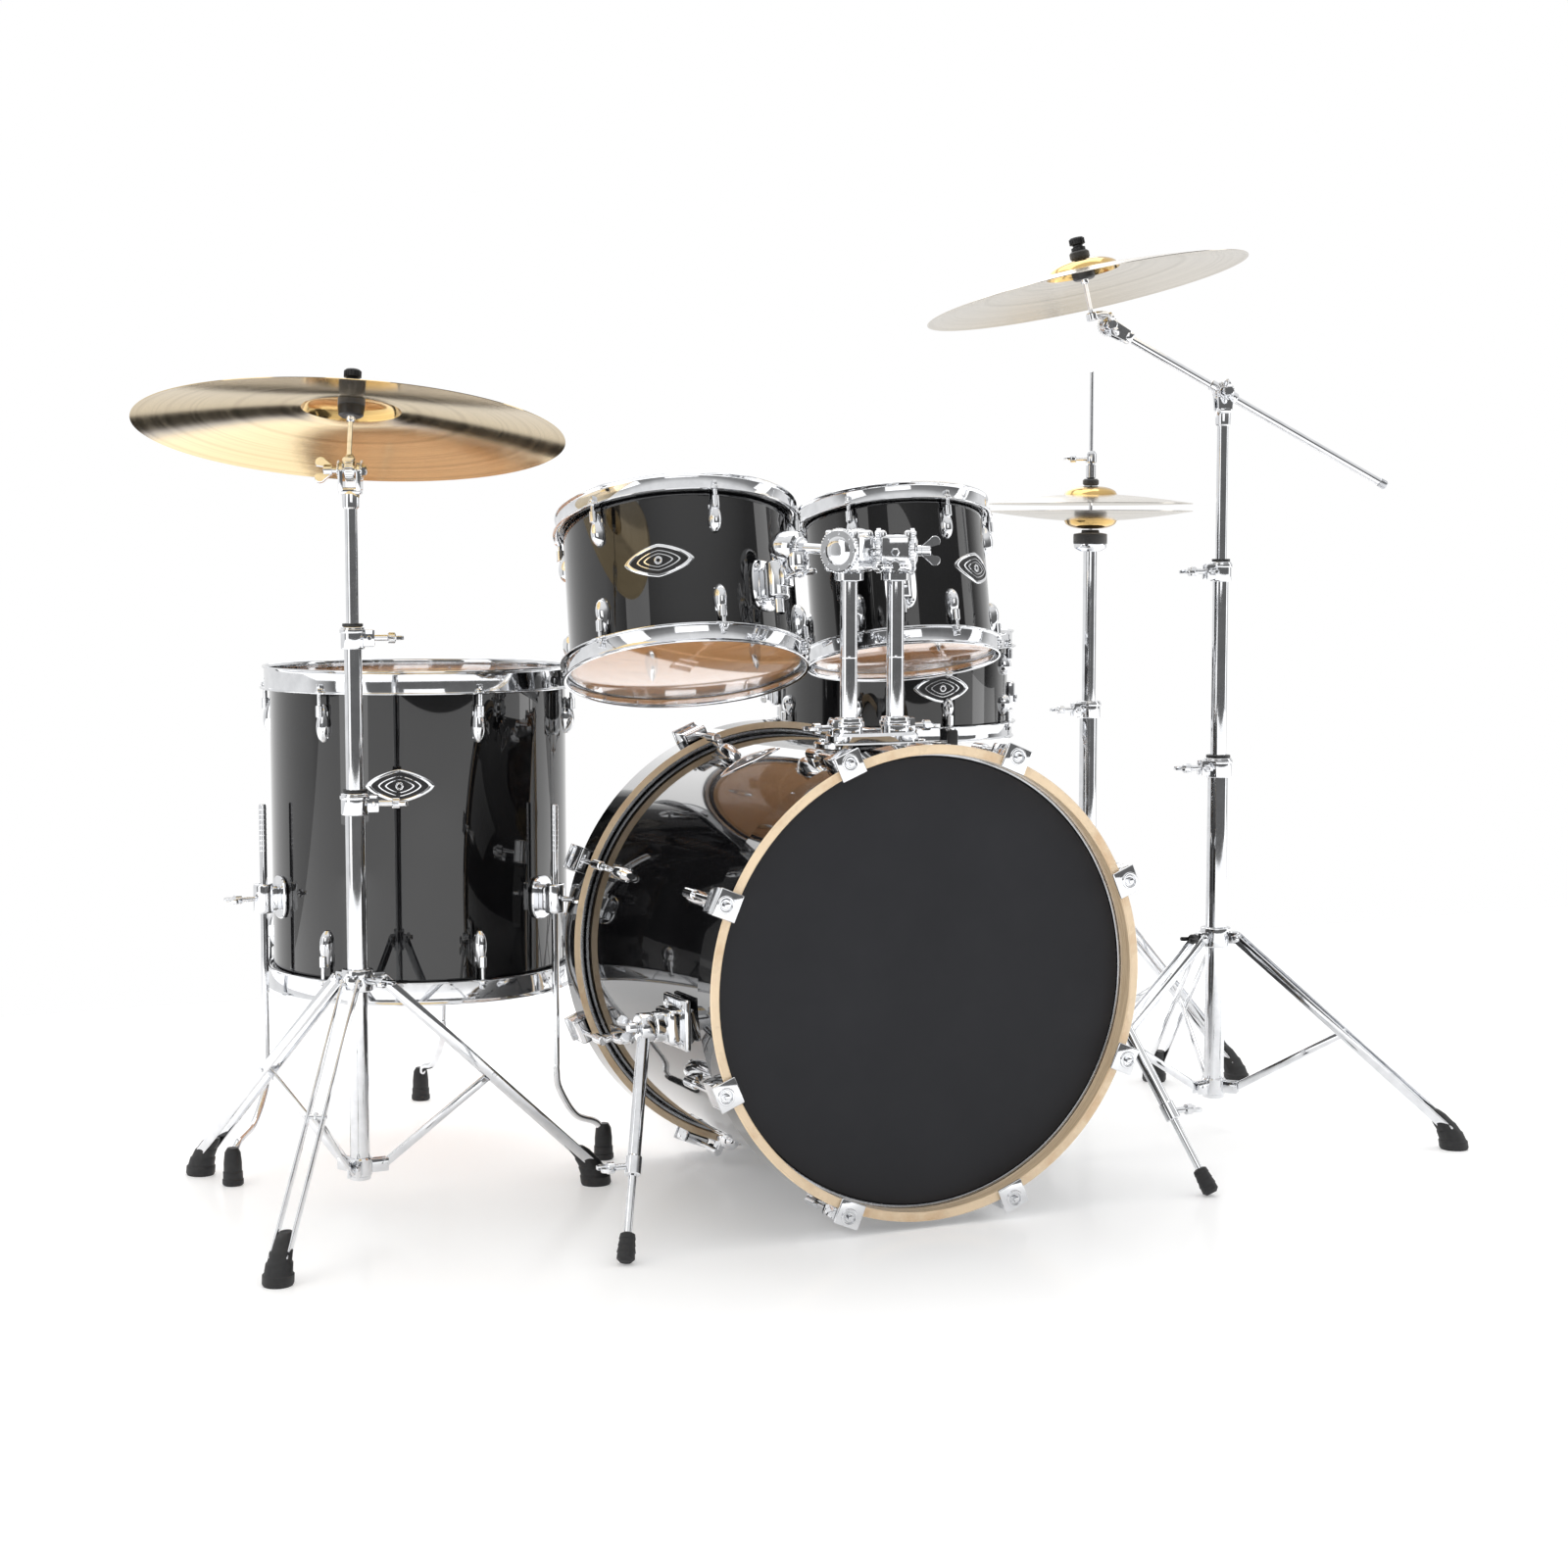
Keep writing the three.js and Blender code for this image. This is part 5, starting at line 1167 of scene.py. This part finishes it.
def crash_stand():
    x, y, _ = CRASH["at"]
    place = at(x, y, 0)
    run = Vector(BOOM_END) - Vector(BOOM_TIP)
    heading = math.degrees(math.atan2(run.y, run.x))
    stand_tubes("crash", CRASH, heading + 90)
    collar, hub = CRASH["collar"], CRASH["hub"]
    ring_piece = collar_shape(0, 14.9, CRASH_LEGS)
    chrome("crash_leg_ring", ring_piece, "crash_leg_collar", at(x, y, collar), ["crash_leg_collar"])
    knob = Shape(wing_bolt(22, 32), at(-20, 0, collar))
    make("crash_collar_knob", knob, NYLON, "crash_leg_collar", place @ spin(12))
    chrome("crash_brace_hub", hub_shape(hub, WIDE_TUBE, CRASH_LEGS), "kit_base", place)
    for i, (azimuth, reach) in enumerate(CRASH_LEGS, 1):
        turned = place @ spin(azimuth)
        body = f"crash_leg_{i}"
        chrome(f"{body}_strips", leg_shape(collar, reach), body, turned, [body])
        slope = math.atan2(reach - HINGE_OUT, collar)
        make(f"{body}_foot", Shape(rubber_foot(reach, slope)), RUBBER, body, turned)
        brace = f"crash_brace_{i}"
        chrome(f"{brace}_strip", brace_shape(hub, collar, reach, False), brace, turned, [brace])
    boom_place = place_of((x, y, CRASH["pivot"]), (0, 0, 1), heading + 90)
    tip, end = [boom_place.inverted() @ Vector(p) for p in (BOOM_TIP, BOOM_END)]
    direction = (end - tip).normalized()
    root = tip + direction * 30
    boom = Shape(gear_disc(13, 13, 24))
    boom.add(bar(root, end, 5.5, 28))
    boom.add(bar(-direction * 22, direction * 22, 7.6, 28, 1.6))
    add_pin(boom)
    slope = math.degrees(math.atan2(direction.z, -direction.y))
    fork = at(*tip) @ spin(-90 - slope, "X")
    for side in (-1, 1):
        boom.add(ear(11, 8, -32), fork @ at(side * 11))
    boom.add(slab((28, 16, 14), (0, 0, -32), 4, 3), fork)
    chrome("crash_boom_rod", boom, "crash_boom", boom_place, ["crash_boom"])
    cap = Shape(disc_stack([(5.6, 0), (6.4, 1), (6.4, 10), (5, 12)], 24))
    cap_place = boom_place @ at(*(end - direction * 10)) @ turned_to(direction)
    make("crash_boom_cap", cap, STEEL, "crash_boom", cap_place)
    tilter("crash_tilter", BOOM_TIP, heading + 90, CRASH_SHAPE, CRASH_PLACE)
    cymbal("crash_cymbal", CRASH_SHAPE, CRASH_PLACE, CRASH_BRONZE, "crash_cymbal")


def footboard(length, width, rise):
    """A ribbed footboard from its heel hinge at the origin towards -Y, tipped up by its rise."""
    shape = Shape()
    outline = [(-width * 0.36, -8), (width * 0.36, -8), (width * 0.5, -34), (width * 0.5, -length * 0.72),
               (width * 0.34, -length), (-width * 0.34, -length), (-width * 0.5, -length * 0.72),
               (-width * 0.5, -34)]
    shape.add(rounded_plate(outline, 8, 4, 5, 1.4))
    for k in range(12):
        y = -length * (0.22 + 0.06 * k)
        shape.add(slab((width * 0.62, 3, 1.8), (0, y, 3), 0.8))
    for side in (-1, 1):
        shape.add(slab((3.4, length * 0.62, 2.4), (side * width * 0.42, -length * 0.46, 3), 1))
    shape.verts = [spin(-rise, "X") @ v for v in shape.verts]
    return shape.add(bar((-43, 0, 0), (43, 0, 0), 3.2, 16))


def hi_hat():
    x, y, _ = HIHAT["at"]
    place = at(x, y, 0)
    lower = tube_shape(HIHAT["hub"] - 8, HIHAT["clamp"], WIDE_TUBE, LOWER_BORE)
    lower.add(clamp(HIHAT["clamp"], 11.8, 19))
    chrome("hihat_lower_tube", lower, "kit_base", place, ["hihat_stand_base"])
    fixed_tripod("hihat_stand", HIHAT, WIDE_TUBE, HIHAT_LEGS, "kit_base", place)
    turned = place @ spin(HIHAT_PEDAL)
    pedal = Shape(slab((270, 58, 5), (176, 0, 3), 2))
    pedal.add(slab((16, 12, 50), (48, 0, 28), 3))
    pedal.add(bar((10, 0, 50), (52, 0, 50), 7, 24))
    pedal.add(slab((22, 88, 5), (312, 0, 3), 2))
    for side in (-1, 1):
        pedal.add(slab((22, 8, 30), (312, side * 40, 15), 3))
        pedal.add(slab((200, 3, 7), (176, side * 26, 6), 1.2))
    make("hihat_pedal_frame", pedal, STEEL, "kit_base", turned)
    board_place = turned @ at(312, 0, 24) @ spin(-90)
    make("hihat_pedal_board", footboard(238, 84, 14), STEEL, "hihat_footboard", board_place,
         ["hihat_footboard"])
    seat = HIHAT["seat"]
    upper = tube_shape(HIHAT["upper_from"], seat + 2, MIDDLE_TUBE, 5)
    upper.add(lathe(rounded([(4.8, seat), (17, seat), (26, seat + 5), (27, seat + 13), (15, seat + 16),
                             (11, seat + 20), (4.8, seat + 20)], 1.6), 48))
    chrome("hihat_upper_pipe", upper, "hihat_upper_tube", place, ["hihat_upper_tube"])
    cup = Shape(lathe(rounded([(4.9, seat + 15), (18, seat + 3), (27.4, seat + 12), (27.4, seat + 28),
                                     (14, seat + 30), (4.9, seat + 30)], 2), 48))
    bush = [(4.9, seat + 27.4), (15, seat + 27.4), (14, seat + 34.6), (4.9, seat + 34.6)]
    cup.add(lathe(rounded(bush, 2), 36))
    make("hihat_seat_felt", cup, FELT, "hihat_upper_tube", place)
    for part, body, level in (("bottom", "hihat_upper_tube", "low"), ("top", "hihat_rod", "high")):
        level_place = {"centre": (x, y, HIHAT[level]), "axis": (0, 0, 1)}
        cymbal(f"hihat_{part}_cymbal", HIHAT_SHAPE, level_place, CRASH_BRONZE, body, part == "bottom")
    bell = HIHAT["high"] + HIHAT_SHAPE["height"]
    pull = Shape(bar((0, 0, HIHAT["rod_from"]), (0, 0, HIHAT["top"]), 3.1, 20))
    pull.add(disc_stack([(5, bell + 12), (8, bell + 14), (8, bell + 34), (6, bell + 36)], 28))
    pull.add(disc_stack([(7, bell + 37), (9, bell + 39), (9, bell + 52), (6, bell + 57)], 28))
    pull.add(wing_bolt(20, 26), at(-7, 0, bell + 45) @ spin(-30))
    pull.add(disc_stack([(9, bell - 18), (11, bell - 16), (11, bell - 12)], 28))
    chrome("hihat_pull_rod", pull, "hihat_rod", place, ["hihat_rod"])
    felts = Shape(puck(13, bell + 1, bell + 12, 2.6, 32))
    felts.add(puck(12, bell - 12, bell - 3.6, 2, 32))
    make("hihat_clutch_felts", felts, FELT, "hihat_rod", place)


def kick_pedal():
    ax, ay, az = PEDAL["axle"]
    hx, hy, hz = PEDAL["heel"]
    body = Shape(slab((114, hy - ay + 50, 6), (0, (hy + ay) / 2 + 5, 3), 2))
    for side in (-1, 1):
        post = [(10, 0), (16, 0), (12, az), (8, az + 14), (-8, az + 14), (-12, az), (-16, 0)]
        body.add(rounded_plate(post, 4, 3, 9, 1.6), at(side * 52, ay, 0) @ spin(90) @ spin(90, "X"))
        body.add(puck(13, -6, 6, 1.6, 32), at(side * 52, ay, az) @ spin(90, "Y"))
        body.add(slab((8, 20, 26), (side * 40, hy, 17), 3))
        body.add(bar((side * 62, ay + 6, az - 20), (side * 62, ay + 6, 40), 6.5, 20))
    body.add(slab((70, 14, 20), (0, 266, 13), 3))
    body.add(slab((70, 24, 6), (0, 272, 9), 2))
    make("kick_pedal_frame", body, STEEL, "kit_base", None, ["kick_frame"])
    make("kick_pedal_board", footboard(PEDAL["board"], 88, PEDAL["rise"]), STEEL, "kick_footboard",
         at(hx, hy, hz), ["kick_footboard"])
    lean = spin(-PEDAL["lean"], "X")
    shaft = Shape(bar((0, 0, 0), (0, 0, PEDAL["shaft"] + 20), 4.6, 20), lean)
    shaft.add(bar((-60, 0, 0), (60, 0, 0), 6, 24))
    shaft.add(gear_disc(20, 18, 24))
    shaft.add(slab((16, 16, 22), (0, 0, 18), 3), lean)
    make("kick_beater_shaft", shaft, CHROME, "kick_beater", at(ax, ay, az), ["kick_beater"])
    head = Shape(disc_stack([(14, -23), (22, -19), (24, -8), (23, 8), (18, 18), (10, 23)], 40),
                       lean @ at(0, 0, PEDAL["shaft"]) @ spin(90, "X"))
    make("kick_beater_head", head, WHITE_FELT, "kick_beater", at(ax, ay, az))


# ---------- stage ----------
def stage():
    floor_mesh = bpy.data.meshes.new("studio_floor")
    corners = [(-12, -10, 0), (12, -10, 0), (12, FLOOR_BACK, 0), (-12, FLOOR_BACK, 0)]
    floor_mesh.from_pydata(corners, [], [(0, 1, 2, 3)])
    floor = bpy.data.objects.new("studio_floor", floor_mesh)
    bpy.context.scene.collection.objects.link(floor)
    n = Nodes("studio_floor_white").fixed(Roughness=0.9)
    n.shader.inputs["Specular IOR Level"].default_value = 0.0
    n.colour(n.noise(0.7), [(0.2, 0.88), (0.8, 0.91)])
    distance = n.new("ShaderNodeVectorMath", operation="LENGTH")
    n.link(n.where(), distance.inputs[0])
    glow = n.new("ShaderNodeMapRange", interpolation_type="SMOOTHSTEP")
    for key, value in zip(("From Min", "From Max", "To Min", "To Max"), (*GLOW_FROM_TO, *FLOOR_GLOW)):
        glow.inputs[key].default_value = value
    n.link(distance.outputs["Value"], glow.inputs["Value"])
    n.fixed(Emission_Color=(1, 1, 1, 1))
    n.link(glow.outputs["Result"], n.shader.inputs["Emission Strength"])
    gloss = n.new("ShaderNodeBsdfGlossy")
    gloss.inputs["Roughness"].default_value = 0.14
    mix = n.new("ShaderNodeMixShader")
    mix.inputs["Fac"].default_value = 0.1
    n.link(n.shader.outputs["BSDF"], mix.inputs[1])
    n.link(gloss.outputs["BSDF"], mix.inputs[2])
    n.link(mix.outputs["Shader"], n.tree.nodes["Material Output"].inputs["Surface"])
    floor_mesh.materials.append(n.material)


def world():
    scene = bpy.context.scene
    scene.world = bpy.data.worlds.new("studio")
    scene.world.use_nodes = True
    tree = scene.world.node_tree

    def span(source, low, high):
        node = tree.nodes.new("ShaderNodeMapRange")
        node.inputs["From Min"].default_value = low
        node.inputs["From Max"].default_value = high
        tree.links.new(source, node.inputs["Value"])
        return node.outputs["Result"]

    def ramp(source, stops):
        node = tree.nodes.new("ShaderNodeValToRGB")
        while len(node.color_ramp.elements) < len(stops):
            node.color_ramp.elements.new(0.5)
        for element, (height, value) in zip(node.color_ramp.elements, stops):
            element.position = (height + 1) / 2
            element.color = rgba(value)
        tree.links.new(source, node.inputs["Fac"])
        return node.outputs["Color"]

    def mixed(share, low, high):
        node = tree.nodes.new("ShaderNodeMix")
        node.data_type = "RGBA"
        colours = [socket for socket in node.inputs if socket.type == "RGBA"]
        tree.links.new(share, node.inputs["Factor"])
        tree.links.new(low, colours[0])
        tree.links.new(high, colours[1])
        return next(socket for socket in node.outputs if socket.type == "RGBA")

    split = tree.nodes.new("ShaderNodeSeparateXYZ")
    tree.links.new(tree.nodes.new("ShaderNodeTexCoord").outputs["Generated"], split.inputs["Vector"])
    height = span(split.outputs["Z"], -1, 1)
    banded = ramp(height, BACK_WITH_BAND)
    plain = ramp(height, BACK)
    front = ramp(height, FRONT)
    back = mixed(span(split.outputs["X"], 0.33, 0.45), banded, plain)
    around = mixed(span(split.outputs["Y"], -0.15, 0.3), front, back)
    tree.links.new(around, tree.nodes["Background"].inputs["Color"])
    white = tree.nodes.new("ShaderNodeBackground")
    white.inputs["Color"].default_value = (1, 1, 1, 1)
    mix = tree.nodes.new("ShaderNodeMixShader")
    tree.links.new(tree.nodes.new("ShaderNodeLightPath").outputs["Is Camera Ray"], mix.inputs["Fac"])
    tree.links.new(tree.nodes["Background"].outputs["Background"], mix.inputs[1])
    tree.links.new(white.outputs["Background"], mix.inputs[2])
    tree.links.new(mix.outputs["Shader"], tree.nodes["World Output"].inputs["Surface"])


def light(name, position, size, power):
    data = bpy.data.lights.new(name, "AREA")
    data.shape = "RECTANGLE"
    data.size, data.size_y = size
    data.energy = power
    lamp = bpy.data.objects.new(name, data)
    bpy.context.scene.collection.objects.link(lamp)
    lamp.location = position
    lamp.rotation_euler = (Vector(LIT_POINT) - Vector(position)).to_track_quat("-Z", "Y").to_euler()


def lights():
    light("overhead_softbox", (0.2, 0.9, 3.4), (3.0, 2.0), 34)
    light("left_softbox", (-3.4, -1.2, 1.4), (1.4, 2.6), 15)
    light("right_softbox", (3.2, -1.0, 1.3), (1.0, 2.6), 12)
    light("front_fill", (-1.6, -5.2, 2.6), (3.0, 2.0), 24)
    light("back_wash", (0.5, 3.6, 2.6), (4.0, 2.0), 30)


def camera():
    data = bpy.data.cameras.new("photo_view")
    data.lens = LENS
    data.sensor_width = 36
    data.clip_end = 200
    view = bpy.data.objects.new("photo_view", data)
    bpy.context.scene.collection.objects.link(view)
    view.location = Vector(CAMERA_AT) * MM + KIT
    view.rotation_euler = (math.radians(90 - VIEW_DOWN), 0, math.radians(VIEW_AZIMUTH))
    bpy.context.scene.camera = view
    bpy.context.scene.view_settings.view_transform = "Standard"


camera()
stage()
world()
lights()
bass_drum()
spurs()
tom_holder()
mounted_tom("tom_1", -1, TOM_1, TOM_1_PLACE)
mounted_tom("tom_2", 1, TOM_2, TOM_2_PLACE)
floor_tom()
snare_drum()
snare_stand()
ride_stand()
crash_stand()
hi_hat()
kick_pedal()
